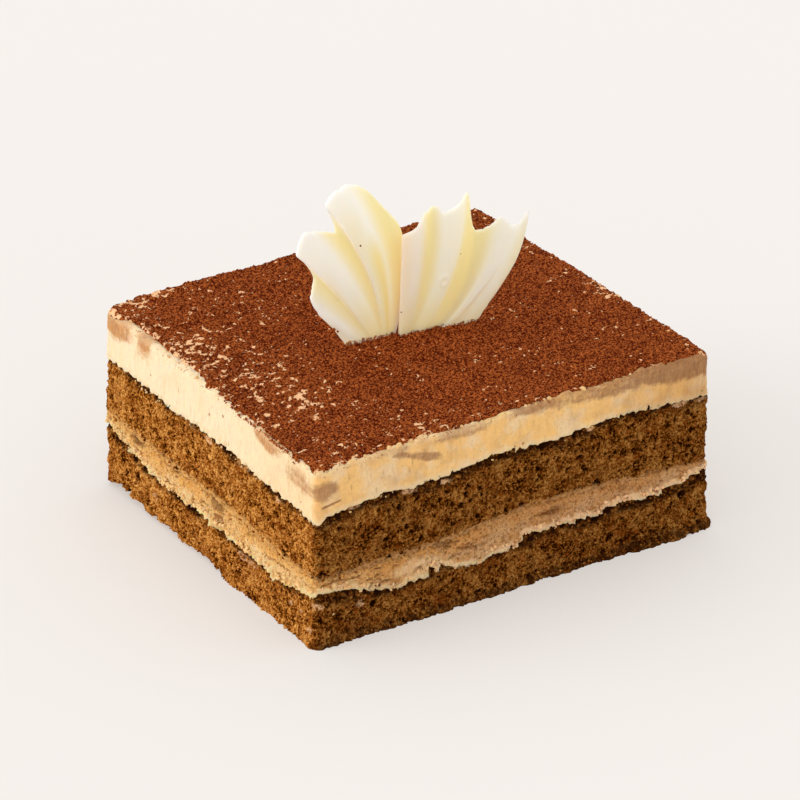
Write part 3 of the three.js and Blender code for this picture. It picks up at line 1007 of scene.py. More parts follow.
def fan_piece(block, fan, finish):
    """A thin closed sheet with a round rim: the middle sheet moved out and back by half its thickness."""
    columns = (len(fan.rim) - 1) * FAN_COLUMNS_PER_POINT
    u = np.linspace(0, 1, columns + 1)
    v = np.linspace(0, 1, FAN_ROWS + 1)[None]
    along, out, up = fan_sheet(fan, u, v)
    grid = np.stack([along, 3 * out, up], axis=-1)
    out = out + 0.14 * layered_noise(grid, (1.6, 9.0, 5.0), 103, 3) * v
    rings = np.zeros(up.shape)
    for middle_along, middle_up, radius in fan.bubbles:
        away = np.hypot(along - middle_along, up - middle_up)
        rings = rings + BUBBLE_RISE * np.exp(-(((away - radius) / BUBBLE_WALL) ** 2))
    thickness = FAN_THICKNESS[0] + (0.75 * FAN_THICKNESS[1] - FAN_THICKNESS[0]) * v
    round_rim = np.sqrt(1 - 0.96 * soft_step(v, 0.965, 1.0) ** 2)
    round_sides = np.sqrt(1 - 0.96 * soft_step(np.abs(2 * u - 1), 0.985, 1.0) ** 2)[:, None]
    half = 0.5 * thickness * round_rim * round_sides
    front = fan_place(block, fan, along, out + half + rings, up)
    back = fan_place(block, fan, along, out - half, up)
    points = np.concatenate([front.reshape(-1, 3), back.reshape(-1, 3)])
    values = {"crease": np.tile(fan_crease(fan, u, v).ravel(), 2), "foot": np.tile(up.ravel(), 2)}
    name = fan.node.replace("chocolate", "ruffled")
    faces = sheet_faces(columns + 1, FAN_ROWS + 1)
    return make_piece(name, points, faces, finish, fan.node, values)


def sheet_faces(columns, rows):
    """Quads of a closed thin sheet: a front grid, a back grid turned round, and walls along its edges."""
    numbers = grid_numbers(columns, rows)
    front = grid_quads(numbers)
    border = grid_border(numbers)
    after = np.roll(border, -1)
    walls = np.stack([after, border, border + numbers.size, after + numbers.size], axis=-1)
    return [front, front[:, ::-1] + numbers.size, walls]


def on_fan(block, fan, along, up):
    """The point of a fan's front that lies nearest to a place in the fan's own frame."""
    sheet_along, sheet_out, sheet_up = fan_sheet(fan, np.linspace(0, 1, 240), np.linspace(0, 1, 120)[None])
    nearest = np.argmin(np.hypot(sheet_along - along, sheet_up - up))
    out = np.broadcast_to(sheet_out, sheet_up.shape).ravel()[nearest] + FAN_THICKNESS[1] / 2
    return fan_place(block, fan, sheet_along.ravel()[nearest], out, sheet_up.ravel()[nearest])


def foot_line(block):
    """Places in plan where the fans go into the cocoa."""
    u = np.linspace(0, 1, 60)
    v = np.linspace(0.02, 0.3, 24)[None]
    spots = []
    for fan in FANS:
        along, out, up = fan_sheet(fan, u, v)
        placed = fan_place(block, fan, along, out, up)
        spots.append(placed[np.abs(up) < 0.5][:, :2])
    return np.concatenate(spots)


# Cocoa: s and t go from -1 to 1 along X and Y


def rounded_square(s, t, half_x, half_y, radius):
    """A square carried to a rounded rectangle: inside each corner's square, points are drawn to a disc."""
    x = s * half_x
    y = t * half_y
    over_x = np.maximum(np.abs(x) - (half_x - radius), 0)
    over_y = np.maximum(np.abs(y) - (half_y - radius), 0)
    reach = np.hypot(over_x, over_y)
    draw = np.where(reach > 0, np.maximum(over_x, over_y) / np.maximum(reach, 1e-9), 1)
    return x - np.sign(x) * over_x * (1 - draw), y - np.sign(y) * over_y * (1 - draw)


def near_end(share):
    """1 at the end of a side, falling to 0 a little way in."""
    return soft_step(share, 0.9, 1.0)


def cocoa_inset(s, t, flat):
    """How far the cocoa stops short of the cut sides: unevenly, and most along the back of the left side."""
    bare = 1.6 * soft_step(t, -0.2, 0.3) * (1 - soft_step(t, 0.75, 0.95)) - 0.5
    inset = 0.55 + near_end(-s) * bare - 0.4 * np.maximum(near_end(s), near_end(t))
    return inset + uneven_edge(flat, 107, 0.45, 0.5)


def cocoa_thinness(x, y, from_rim, flat):
    """How thin the cocoa lies: thinner to the left, front and right, along its rim, and in patches."""
    left = 0.3 * soft_step(-x, 5, 28) + 0.22 * soft_step(-x, 27, 42) * (1 - 0.8 * soft_step(-y, 15, 34))
    left = left + 0.35 * soft_step(y - x, 60, 80)
    front = 0.3 * soft_step(-y, 28, 40) * (1 - 0.5 * soft_step(np.abs(x), 0, 40))
    right = 0.4 * soft_step(x, 38, 45) + 0.12 * soft_step(x + y, 70, 86)
    rim = 0.18 * (1 - soft_step(from_rim, 0.3, 2.0))
    return np.clip(left + front + right + rim + 0.35 * layered_noise(flat, 9.0, 131, 2), 0, 1)


def cocoa_layer(block, sizes, finish):
    """The cocoa skin: a grainy grid with an uneven rim, heaped a little round the fans' feet.

    Grains are bumps about random points. The rim sinks to the cream, and a skirt and an underside close it.
    """
    step = sizes.cocoa_step / MM
    s = np.linspace(-1, 1, int(2 * block.half_length / step))[:, None]
    t = np.linspace(-1, 1, int(2 * block.half_width / step))[None]
    x, y = rounded_square(s, t, block.half_length, block.half_width, block.radius)
    flat = np.stack([x, y, np.zeros_like(x)], axis=-1)
    inset = cocoa_inset(s, t, flat)
    x = x * (1 - np.abs(s) * inset / block.half_length)
    y = y * (1 - np.abs(t) * inset / block.half_width)
    away, own = nearest_seed(warped(flat, 1.0, 0.3, 115), 0.64, 109)
    grains = (0.55 - away) * (0.8 + 0.7 * own) + 0.1 * layered_noise(flat, 1.6, 113, 3)
    feet = foot_line(block)
    to_foot = np.min(np.hypot(x[..., None] - feet[:, 0], y[..., None] - feet[:, 1]), axis=-1)
    heap = 0.45 * np.exp(-((to_foot / 1.1) ** 2)) * (0.7 + 0.6 * layered_noise(flat, 1.4, 127, 2))
    from_rim = np.minimum((1 - np.abs(s)) * block.half_length, (1 - np.abs(t)) * block.half_width)
    banked = 0.45 * near_end(t) * soft_step(-x, -30, 10) + 0.15 * near_end(s)
    droop = 0.8 * near_end(-s) * soft_step(-t, -0.1, 0.2) * (1 - soft_step(from_rim, 0.0, 0.5))
    thickness = soft_step(from_rim, 0.0, 0.6) * (0.5 + banked + sizes.cocoa_grain / MM * grains + heap)
    z = block.face(CREAM_TOP, x, y) - 0.1 - droop + thickness
    top = block.cut(np.stack([x, y, z], axis=-1)).reshape(-1, 3)
    numbers = grid_numbers(*x.shape)
    border = grid_border(numbers)
    skirt = top[border] - np.array([0, 0, COCOA_SKIRT])
    points = np.concatenate([top, skirt, skirt.mean(axis=0, keepdims=True)])
    lower = len(top) + np.arange(len(border))
    after_lower = np.roll(lower, -1)
    walls = np.stack([np.roll(border, -1), border, lower, after_lower], axis=-1)
    underside = np.stack([np.full(len(border), len(points) - 1), after_lower, lower], axis=-1)
    values = {"thin": cocoa_thinness(x, y, from_rim, flat), "grain": grains}
    extra = np.zeros(len(points) - len(top))
    values = {key: np.concatenate([shares.ravel(), extra]) for key, shares in values.items()}
    faces = [grid_quads(numbers), walls, underside]
    return make_piece("cocoa_skin", points, faces, finish, "cocoa_dusting", values)


# Loose bits


def on_side(block, low, high, out, draw, count):
    """Random places on the true block's cut sides, between two heights that are given round the outline."""
    step = draw.integers(0, len(block.x), count)
    low = np.broadcast_to(low, block.x.shape)[step]
    high = np.broadcast_to(high, block.x.shape)[step]
    return block.beside(step, out, draw.uniform(0, 1, count) * (high - low) + low)


def sponge_crumbs(block, finish):
    """Loose crumbs clinging to the sponges' cut sides, with none where the foot is raised."""
    draw = np.random.default_rng(CRUMB_SEED)
    lower = on_side(block, 0.5, block.line(BASE_TOP) - 0.5, 0.1, draw, LOWER_CRUMBS)
    foot = on_side(block, 0.2, 0.9, 0.5, draw, FOOT_CRUMBS)
    upper = on_side(block, block.line(FILLING_TOP), block.line(MIDDLE_TOP) - 0.5, 0.1, draw, UPPER_CRUMBS)
    lower = np.concatenate([lower, foot])
    raised = (lower[:, 0] < 3 - block.half_length) & (lower[:, 1] > -10)
    lower = lower[~raised | (lower[:, 2] > FOOT_MOST)]
    centres = block.cut(np.concatenate([lower, upper]))
    points, faces = lumps(centres, 0.16 + 0.3 * draw.random(len(centres)) ** 2, draw)
    front = soft_step(-points[:, 1], block.half_width - 3, block.half_width - 1)
    right = soft_step(points[:, 0], block.half_length - 3, block.half_length - 1)
    # Crumbs on the front and +X sides get painted shade, as the crumb there does.
    values = {"shaded_side": np.maximum(front, 0.7 * right)}
    return make_piece("sponge_crumbs", points, faces, finish, values=values)


def cream_bits(block, finish):
    """Bits of cream: beads and curls along its top, flecks along its foot, and smears at the front corner."""
    draw = np.random.default_rng(CREAM_SEED)
    top = block.line(CREAM_TOP)
    seam = block.line(MIDDLE_TOP)
    beads = on_side(block, top - 0.2, top + 0.2, -0.3, draw, CREAM_BEADS)
    beads = beads[layered_noise(beads, 7.0, 201, 2) > 0.25]
    flecks = on_side(block, seam - 1.0, seam + 0.3, 0.1, draw, CREAM_FLECKS)
    flecks = flecks[draw.random(len(flecks)) < 0.5]
    smears = on_side(block, 3.0, block.line(BASE_TOP), -0.1, draw, CREAM_SMEARS)
    smears = smears[smears[:, 0] + smears[:, 1] < -60]
    curls = on_side(block, top, top + 0.2, -0.5, draw, CREAM_CURLS)
    curls = curls[curls[:, 1] < -40]
    centres = block.cut(np.concatenate([beads, flecks, smears, curls]))
    radii = 0.16 + 0.26 * draw.random(len(centres)) ** 2
    radii[-len(curls):] += 0.25
    points, faces = lumps(centres, radii, draw)
    return make_piece("cream_bits", points, faces, finish)


def cocoa_granules(block, finish):
    """Loose granules on the cocoa, closer along its rim, some spilt over it, and specks on the fans."""
    draw = np.random.default_rng(COCOA_SEED)
    count = COCOA_GRANULES
    x = draw.uniform(-1, 1, count) * (block.half_length - 0.8)
    y = draw.uniform(-1, 1, count) * (block.half_width - 0.8)
    rim = np.arange(count) % 3 == 0
    along = np.arange(count) % 2 == 0
    x = np.where(rim & along, np.sign(x) * (block.half_length - draw.uniform(0.4, 1.2, count)), x)
    y = np.where(rim & ~along, np.sign(y) * (block.half_width - draw.uniform(0.4, 1.2, count)), y)
    x = np.where((x < 2 - block.half_length) & (y > -4), x + 1.3, x)
    z = block.face(CREAM_TOP, x, y) + np.where(rim, 0.25, 0.42)
    strewn = np.stack([x, y, z], axis=-1)
    top = block.line(CREAM_TOP)
    spilt = on_side(block, top - 0.6, top + 0.2, 0.05, draw, SPILT_GRANULES)
    spilt = spilt[(spilt[:, 0] < 2 - block.half_length) & (np.abs(spilt[:, 1] + 21) < 14)]
    centres = block.cut(np.concatenate([strewn, spilt]))
    radii = 0.12 + 0.2 * draw.random(len(centres)) ** 2
    stuck = [(on_fan(block, fan, along, up), radius) for fan in FANS for along, up, radius in fan.specks]
    centres = np.concatenate([centres, [centre for centre, _ in stuck]])
    radii = np.concatenate([radii, [radius for _, radius in stuck]])
    points, faces = lumps(centres, radii, draw)
    return make_piece("cocoa_granules", points, faces, finish)


# Node helpers


def add_node(tree, kind, inputs=None, **settings):
    """A node with its settings made and its inputs either linked or set. Colours get full alpha."""
    node = tree.nodes.new(kind)
    for key, value in settings.items():
        setattr(node, key, value)
    for key, value in (inputs or {}).items():
        if isinstance(value, bpy.types.NodeSocket):
            tree.links.new(value, node.inputs[key])
        elif isinstance(value, Color):
            node.inputs[key].default_value = (*value, 1)
        else:
            node.inputs[key].default_value = value
    return node


def mix_colours(tree, share, first, second, blend="MIX"):
    """The colour that goes from first to second as share goes from 0 to 1."""
    inputs = {0: share, 6: first, 7: second}
    return add_node(tree, "ShaderNodeMix", inputs, data_type="RGBA", blend_type=blend).outputs[2]


def calculate(tree, operation, first, second=0.0):
    """One step of arithmetic."""
    return add_node(tree, "ShaderNodeMath", {0: first, 1: second}, operation=operation).outputs[0]


def times(tree, first, second):
    """The product of two values."""
    return calculate(tree, "MULTIPLY", first, second)


def weighted_sum(tree, terms):
    """The sum of values, each multiplied by its weight."""
    total = 0.0
    for value, weight in terms:
        node = add_node(tree, "ShaderNodeMath", {0: value, 1: weight, 2: total}, operation="MULTIPLY_ADD")
        total = node.outputs[0]
    return total


def rise(tree, value, start, end, low=0.0, high=1.0):
    """low before start, high after end, and a smooth change between."""
    inputs = {"Value": value, "From Min": start, "From Max": end, "To Min": low, "To Max": high}
    return add_node(tree, "ShaderNodeMapRange", inputs, interpolation_type="SMOOTHSTEP").outputs[0]


def per_metre(millimetres):
    """Texture scale of a pattern whose cells measure this."""
    return 1 / (millimetres * MM)


def place(tree, stretch=None):
    """Object coordinates, squeezed along each axis where stretch is given."""
    socket = add_node(tree, "ShaderNodeTexCoord").outputs["Object"]
    if stretch is None:
        return socket
    return add_node(tree, "ShaderNodeMapping", {"Vector": socket, "Scale": stretch}).outputs["Vector"]


def cloud(tree, at, millimetres, detail=2.0, roughness=0.5, distortion=0.0):
    """Soft noise of that cell size, about a half."""
    inputs = {"Vector": at, "Scale": per_metre(millimetres), "Detail": detail}
    inputs.update({"Roughness": roughness, "Distortion": distortion})
    return add_node(tree, "ShaderNodeTexNoise", inputs).outputs["Fac"]


def centred_cloud(tree, at, *shape):
    """Soft noise about 0."""
    return calculate(tree, "SUBTRACT", cloud(tree, at, *shape), 0.5)


def threads(tree, at, width, *shape):
    """Thin lines where soft noise crosses its middle: 1 within the first width, 0 past the second."""
    away = calculate(tree, "ABSOLUTE", centred_cloud(tree, at, *shape))
    return rise(tree, away, *width, 1.0, 0.0)


def cells(tree, at, millimetres):
    """Distance to the nearest of random points, and that point's own red and green."""
    node = add_node(tree, "ShaderNodeTexVoronoi", {"Vector": at, "Scale": per_metre(millimetres)})
    own = add_node(tree, "ShaderNodeSeparateColor", {"Color": node.outputs["Color"]}).outputs
    return node.outputs["Distance"], own["Red"], own["Green"]


def kept_value(tree, name):
    """A value kept at the mesh's points."""
    return add_node(tree, "ShaderNodeAttribute", attribute_name=name).outputs["Fac"]


def new_group(name, colours, numbers, results):
    """An empty shader node group, its inputs and its outputs.

    It takes the named colours and numbers, and gives a colour and the named results.
    """
    tree = bpy.data.node_groups.new(name, "ShaderNodeTree")
    for labels, kind in ((colours, "NodeSocketColor"), (numbers, "NodeSocketFloat")):
        for label in labels:
            tree.interface.new_socket(label, in_out="INPUT", socket_type=kind)
    for labels, kind in ((("Colour",), "NodeSocketColor"), (results, "NodeSocketFloat")):
        for label in labels:
            tree.interface.new_socket(label, in_out="OUTPUT", socket_type=kind)
    return tree, tree.nodes.new("NodeGroupInput").outputs, tree.nodes.new("NodeGroupOutput").inputs


def use_group(tree, name, build, inputs):
    """A shared group placed in a material with its own values, and built the first time it is asked for."""
    group = bpy.data.node_groups.get(name) or build(name)
    return add_node(tree, "ShaderNodeGroup", inputs, node_tree=group).outputs


def new_material(name):
    """An empty node material and its tree."""
    material = bpy.data.materials.new(name)
    material.use_nodes = True
    material.node_tree.nodes.clear()
    return material, material.node_tree


def finished(material, paint, roughness, settings, height=None, bump=None):
    """Ends a material: a Principled BSDF with this colour and roughness, and plain settings on its sockets.

    Where there is a height, it gets a bump, given as (strength, depth in millimetres).
    """
    tree = material.node_tree
    inputs = {"Base Color": paint, "Roughness": roughness, **settings}
    if height is not None:
        strength, depth = bump
        relief = {"Height": height, "Strength": strength, "Distance": depth * MM}
        inputs["Normal"] = add_node(tree, "ShaderNodeBump", relief).outputs["Normal"]
    shader = add_node(tree, "ShaderNodeBsdfPrincipled", inputs)
    add_node(tree, "ShaderNodeOutputMaterial", {"Surface": shader.outputs["BSDF"]})
    return material


# Shared effects


def build_crumb(name):
    """Crumb: fine grains and threads from dark through golden to tan, rusty in patches, with painted shade
    in its pores.
    """
    colours = ("Tan", "Light", "Dark", "Rust", "Pore Colour")
    tree, given, put = new_group(name, colours, ("Pore",), ("Height",))
    at = place(tree)
    away, shade, _ = cells(tree, at, 0.45)
    fine = rise(tree, cloud(tree, at, 0.45, 2.0, 0.6), 0.34, 0.66)
    broad = rise(tree, cloud(tree, at, 2.0, 3.0), 0.3, 0.7)
    patch = rise(tree, cloud(tree, at, 6.0, 3.0), 0.35, 0.65)
    fibres = threads(tree, at, (0.0, 0.05), 1.1, 2.0)
    parts = ((fine, 0.47), (shade, 0.27), (broad, 0.32), (patch, 0.16), (fibres, 0.2), (1.0, -0.125))
    # Pore paints shade: it lowers the tone here and turns the crumb to the pore colour below.
    tone = calculate(tree, "SUBTRACT", weighted_sum(tree, parts), times(tree, given["Pore"], 0.35))
    base = mix_colours(tree, rise(tree, tone, 0.1, 0.38), given["Pore Colour"], given["Dark"])
    base = mix_colours(tree, rise(tree, tone, 0.34, 0.62), base, given["Light"])
    base = mix_colours(tree, rise(tree, tone, 0.6, 0.9), base, given["Tan"])
    rusty = times(tree, rise(tree, cloud(tree, at, 5.0, 4.0), 0.52, 0.7), 0.45)
    base = mix_colours(tree, rusty, base, given["Rust"])
    dark = rise(tree, given["Pore"], 0.25, 1.0, 0.0, 0.9)
    tree.links.new(mix_colours(tree, dark, base, given["Pore Colour"]), put["Colour"])
    tree.links.new(weighted_sum(tree, ((fine, 0.6), (away, -0.6))), put["Height"])
    return tree


def build_cream(name):
    """Cream: pale clouds, streaks running up and down, fine upright specks, and coffee with a broken edge."""
    colours = ("Pale", "Deep", "Light", "Coffee Colour")
    tree, given, put = new_group(name, colours, ("Shade", "Coffee"), ("Height", "Roughness"))
    at = place(tree)
    upright = place(tree, (1.0, 1.0, 0.3))
    streaks = cloud(tree, place(tree, (1.0, 1.0, 0.18)), 0.8, 4.0, 0.65)
    # Painted shade: Shade turns Pale to Deep here, and below it adds coffee-coloured clouds and grain on the
    # shaded sides.
    base = mix_colours(tree, given["Shade"], given["Pale"], given["Deep"])
    lighter = rise(tree, cloud(tree, at, 4.5, 5.0, 0.65), 0.42, 0.66, 0.0, 0.8)
    base = mix_colours(tree, lighter, base, given["Light"])
    darker = rise(tree, streaks, 0.5, 0.8, 0.0, 0.35)
    clouds = rise(tree, cloud(tree, at, 7.0, 4.0, 0.6), 0.45, 0.7, 0.0, 0.4)
    rough = cloud(tree, at, 0.5, 3.0, 0.65)
    grainy = weighted_sum(tree, ((given["Shade"], 0.24), (1.0, 0.08)))
    grainy = times(tree, rise(tree, rough, 0.5, 0.72), grainy)
    for browner in (darker, times(tree, clouds, given["Shade"]), grainy):
        base = mix_colours(tree, browner, base, given["Coffee Colour"])
    away, _, few = cells(tree, upright, 1.1)
    speck = times(tree, rise(tree, away, 0.05, 0.3, 1.0, 0.0), rise(tree, few, 0.84, 0.92))
    broken = centred_cloud(tree, place(tree, (0.5, 0.5, 1.2)), 1.2, 5.0, 0.65)
    grain = centred_cloud(tree, upright, 0.45, 2.0, 0.6)
    stain = weighted_sum(tree, ((given["Coffee"], 1.0), (broken, 1.3), (grain, 0.6)))
    stain = times(tree, rise(tree, stain, 0.3, 1.1), rise(tree, given["Coffee"], 0.05, 0.4, 0.0, 0.95))
    stain = calculate(tree, "MAXIMUM", stain, times(tree, speck, 0.55))
    # A random darker mottle in the coffee.
    mottle = rise(tree, cloud(tree, upright, 0.8, 4.0, 0.7), 0.35, 0.68)
    coffee = mix_colours(tree, mottle, given["Coffee Colour"], COFFEE_MOTTLE, "MULTIPLY")
    # Painted light: coffee on the lit sides is multiplied warmer.
    lit = rise(tree, given["Shade"], 0.0, 0.8, 1.0, 0.0)
    coffee = mix_colours(tree, lit, coffee, COFFEE_LIT, "MULTIPLY")
    tree.links.new(mix_colours(tree, stain, base, coffee), put["Colour"])
    tree.links.new(weighted_sum(tree, ((streaks, 1.0), (grain, 1.0), (rough, 0.8))), put["Height"])
    tree.links.new(rise(tree, streaks, 0.2, 0.8, 0.42, 0.6), put["Roughness"])
    return tree


def build_powder(name):
    """Cocoa powder: grains with dark gaps between them, in shades that drift over the surface."""
    tree, given, put = new_group(name, ("Powder", "Gap"), ("Grain",), ("Height",))
    at = place(tree)
    away, _, _ = cells(tree, at, 0.5)
    fine = cloud(tree, at, 0.3, 2.0, 0.6, 0.4)
    drift = cloud(tree, at, 6.0, 2.0)
    parts = ((given["Grain"], 0.22), (fine, 1.0), (away, -0.35), (drift, 0.12), (1.0, -0.01))
    level = rise(tree, weighted_sum(tree, parts), 0.265, 0.575)
    tree.links.new(mix_colours(tree, level, given["Gap"], given["Powder"]), put["Colour"])
    tree.links.new(weighted_sum(tree, ((fine, 1.0), (away, -0.5))), put["Height"])
    return tree


def crumb(tree, colours, pore):
    """The crumb with the colours of the settings."""
    inputs = {
        "Tan": colours.sponge_tan,
        "Light": colours.sponge_light,
        "Dark": colours.sponge_dark,
        "Rust": colours.rust,
        "Pore Colour": colours.sponge_pore_shade,
        "Pore": pore,
    }
    return use_group(tree, "Crumb", build_crumb, inputs)


def cream(tree, colours, shade, coffee):
    """The cream with the colours of the settings."""
    inputs = {
        "Pale": colours.cream,
        "Deep": colours.cream_deep,
        "Light": colours.fringe,
        "Coffee Colour": colours.coffee,
        "Shade": shade,
        "Coffee": coffee,
    }
    return use_group(tree, "Cream", build_cream, inputs)


def powder(tree, colours, grain):
    """The cocoa powder with the colours of the settings."""
    inputs = {"Powder": colours.cocoa, "Gap": colours.cocoa_dark, "Grain": grain}
    return use_group(tree, "Powder", build_powder, inputs)


# Finishes


def sponge_finish(colours):
    """Golden crumb with painted shade in its pores and on the shaded sides, darker along its skin, with
    smears of cream and filling.
    """
    material, tree = new_material("soaked_sponge")
    at = place(tree)
    # Painted shade in the pores, deeper on the shaded sides.
    pore = kept_value(tree, "pore")
    shaded_side = kept_value(tree, "shaded_side")
    deeper = times(tree, pore, weighted_sum(tree, ((shaded_side, 0.35), (1.0, 0.7))))
    look = crumb(tree, colours, deeper)
    # Painted shade: the sides that face away from the light are multiplied darker.
    base = mix_colours(tree, shaded_side, look["Colour"], CRUMB_SHADE, "MULTIPLY")
    spots = rise(tree, cloud(tree, at, 1.5, 3.0, 0.6), 0.56, 0.68, 0.0, 0.6)
    base = mix_colours(tree, times(tree, spots, shaded_side), base, colours.rust)
    # Dark blotches on the shaded sides only: painted shade.
    blotches = rise(tree, cloud(tree, at, 2.4, 4.0, 0.65), 0.55, 0.7, 0.0, 0.5)
    base = mix_colours(tree, times(tree, blotches, shaded_side), base, colours.sponge_pore_shade)
    # The skin is crust and painted shade: under the layer above, on the shaded sides and at the foot.
    patches = rise(tree, cloud(tree, at, 1.6, 3.0, 0.6), 0.4, 0.55, 0.35, 1.0)
    base = mix_colours(tree, times(tree, kept_value(tree, "skin"), patches), base, colours.crust)
    broken = centred_cloud(tree, at, 0.8, 5.0, 0.7)
    chalk = weighted_sum(tree, ((kept_value(tree, "chalk"), 0.8), (broken, 1.6)))
    base = mix_colours(tree, rise(tree, chalk, 0.4, 0.9, 0.0, 0.8), base, colours.fleck)
    smear = rise(tree, weighted_sum(tree, ((kept_value(tree, "smear"), 1.0), (broken, 1.3))), 0.35, 1.15)
    smear = times(tree, smear, rise(tree, pore, 0.1, 0.7, 0.85, 0.2))
    smeared = mix_colours(tree, 0.35, colours.filling, colours.lip)
    # The smear takes painted shade on the shaded sides.
    base = mix_colours(tree, smear, base, mix_colours(tree, shaded_side, smeared, SHADED_FILLING, "MULTIPLY"))
    return finished(material, base, 0.9, MATTE, look["Height"], (0.95, 0.36))


def crumbs_finish(colours):
    """The same golden crumb on loose crumbs, a little lighter for want of pores."""
    material, tree = new_material("loose_crumb")
    look = crumb(tree, colours, 0.2)
    # Painted shade on the crumbs of the shaded sides.
    base = mix_colours(tree, kept_value(tree, "shaded_side"), look["Colour"], CRUMB_SHADE, "MULTIPLY")
    return finished(material, base, 0.9, MATTE, look["Height"], (0.6, 0.2))


def cream_finish(colours):
    """Firm pale cream with streaks, coffee marbling, dark pits and a few specks near its top."""
    material, tree = new_material("pale_cream")
    look = cream(tree, colours, kept_value(tree, "shade"), kept_value(tree, "coffee"))
    fringe = times(tree, kept_value(tree, "fringe"), 0.6)
    base = mix_colours(tree, fringe, look["Colour"], colours.fringe)
    # Painted shade: the shaded cream darkens towards +X.
    base = mix_colours(tree, kept_value(tree, "far"), base, FAR_CREAM_SHADE, "MULTIPLY")
    # Painted shade: pits and cracks turn to the crumb's dark colour.
    pit = times(tree, rise(tree, kept_value(tree, "pit"), 0.0, 0.5), 0.85)
    base = mix_colours(tree, pit, base, colours.sponge_dark)
    fine = cloud(tree, place(tree), 0.6, 3.0, 0.65)
    specks = weighted_sum(tree, ((fine, 1.0), (kept_value(tree, "dust"), 0.13)))
    base = mix_colours(tree, rise(tree, specks, 0.7, 0.78, 0.0, 0.8), base, colours.sponge_dark)
    settings = {"Specular IOR Level": 0.3, **SOFT_GLOW}
    return finished(material, base, look["Roughness"], settings, look["Height"], (0.6, 0.25))


def bits_finish(colours):
    """Cream with a little coffee in it, on loose bits."""
    material, tree = new_material("cream_bit")
    look = cream(tree, colours, 0.8, 0.55)
    return finished(material, look["Colour"], look["Roughness"], MATTE, look["Height"], (0.3, 0.1))


def lip_finish(colours):
    """Pale coffee cream on the lumps along the filling's lip."""
    material, tree = new_material("lip_bit")
    grain = rise(tree, cloud(tree, place(tree), 0.5, 3.0, 0.65), 0.3, 0.7)
    base = mix_colours(tree, times(tree, grain, 0.5), colours.lip, colours.filling)
    # Painted shade on the lumps of the shaded sides.
    base = mix_colours(tree, kept_value(tree, "shade"), base, PALE_SHADE, "MULTIPLY")
    return finished(material, base, 0.7, MATTE, grain, (0.6, 0.2))


def filling_finish(colours):
    """Sandy coffee cream: pale at its lower lip, crumb at its upper edge, with curled cracks and pits."""
    material, tree = new_material("coffee_cream")
    at = place(tree)
    share = kept_value(tree, "share")
    shade = kept_value(tree, "shade")
    broken = centred_cloud(tree, at, 1.1, 5.0, 0.7)
    grain = rise(tree, cloud(tree, at, 0.4, 3.0, 0.65), 0.3, 0.7)
    clouds = rise(tree, cloud(tree, at, 4.0, 3.0), 0.4, 0.65, 0.0, 0.3)
    sandy = weighted_sum(tree, ((grain, 0.6), (clouds, 1.0)))
    sandy = times(tree, sandy, rise(tree, share, 0.3, 0.8, 1.0, 0.5))
    base = mix_colours(tree, sandy, colours.filling, colours.lip)
    sand = rise(tree, cloud(tree, at, 0.55, 3.0, 0.7), 0.48, 0.64, 0.0, 0.62)
    base = mix_colours(tree, sand, base, colours.sponge_dark)
    base = mix_colours(tree, times(tree, kept_value(tree, "blot"), 0.65), base, colours.crust)
    # Painted shade on the shaded sides.
    base = mix_colours(tree, shade, base, SHADED_FILLING, "MULTIPLY")
    lip = weighted_sum(tree, ((kept_value(tree, "lip"), 1.0), (broken, 1.3)))
    # The pale lip takes painted shade on the shaded sides.
    pale = mix_colours(tree, shade, colours.lip, PALE_SHADE, "MULTIPLY")
    base = mix_colours(tree, rise(tree, lip, 0.3, 0.95, 0.0, 0.9), base, pale)
    # Crumb at the upper edge, with painted shade on the shaded sides.
    soaked_crumb_and_shade = mix_colours(tree, shade, crumb(tree, colours, 0.15)["Colour"], CRUMB_SHADE, "MULTIPLY")
    level = weighted_sum(tree, ((share, 1.0), (broken, 0.9)))
    base = mix_colours(tree, rise(tree, level, 0.68, 1.15, 0.0, 0.85), base, soaked_crumb_and_shade)
    few = rise(tree, cloud(tree, at, 2.2, 2.0), 0.52, 0.6)
    curls = times(tree, threads(tree, at, (0.008, 0.03), 1.6, 2.0, 0.5, 0.8), few)
    specks = rise(tree, cloud(tree, at, 0.55, 2.0, 0.6), 0.66, 0.74)
    # torn is painted shade in the tears, cracks and pits; curls and specks are dark marks of the cream.
    dark = calculate(tree, "MAXIMUM", calculate(tree, "MAXIMUM", curls, specks), kept_value(tree, "torn"))
    base = mix_colours(tree, times(tree, dark, 0.75), base, colours.sponge_dark)
    return finished(material, base, 0.7, {"Specular IOR Level": 0.2, **SOFT_GLOW}, grain, (0.8, 0.3))


def cocoa_finish(colours):
    """Cocoa powder, dark between its grains, with flecks of cream in the gaps where the skin is thin."""
    material, tree = new_material("cocoa_powder")
    grain = kept_value(tree, "grain")
    look = powder(tree, colours, grain)
    worn = cloud(tree, place(tree), 1.6, 2.0, 0.6, 0.3)
    parts = ((worn, 1.0), (kept_value(tree, "thin"), 0.245), (grain, -0.2), (1.0, -0.022))
    flecks = rise(tree, weighted_sum(tree, parts), 0.69, 0.735)
    base = mix_colours(tree, flecks, look["Colour"], colours.fleck)
    return finished(material, base, 0.95, POWDERY, look["Height"], (0.8, 0.35))


def granule_finish(colours):
    """Plain cocoa on loose granules."""
    material, tree = new_material("cocoa_granule")
    look = powder(tree, colours, 0.3)
    return finished(material, look["Colour"], 0.95, POWDERY, look["Height"], (0.5, 0.2))


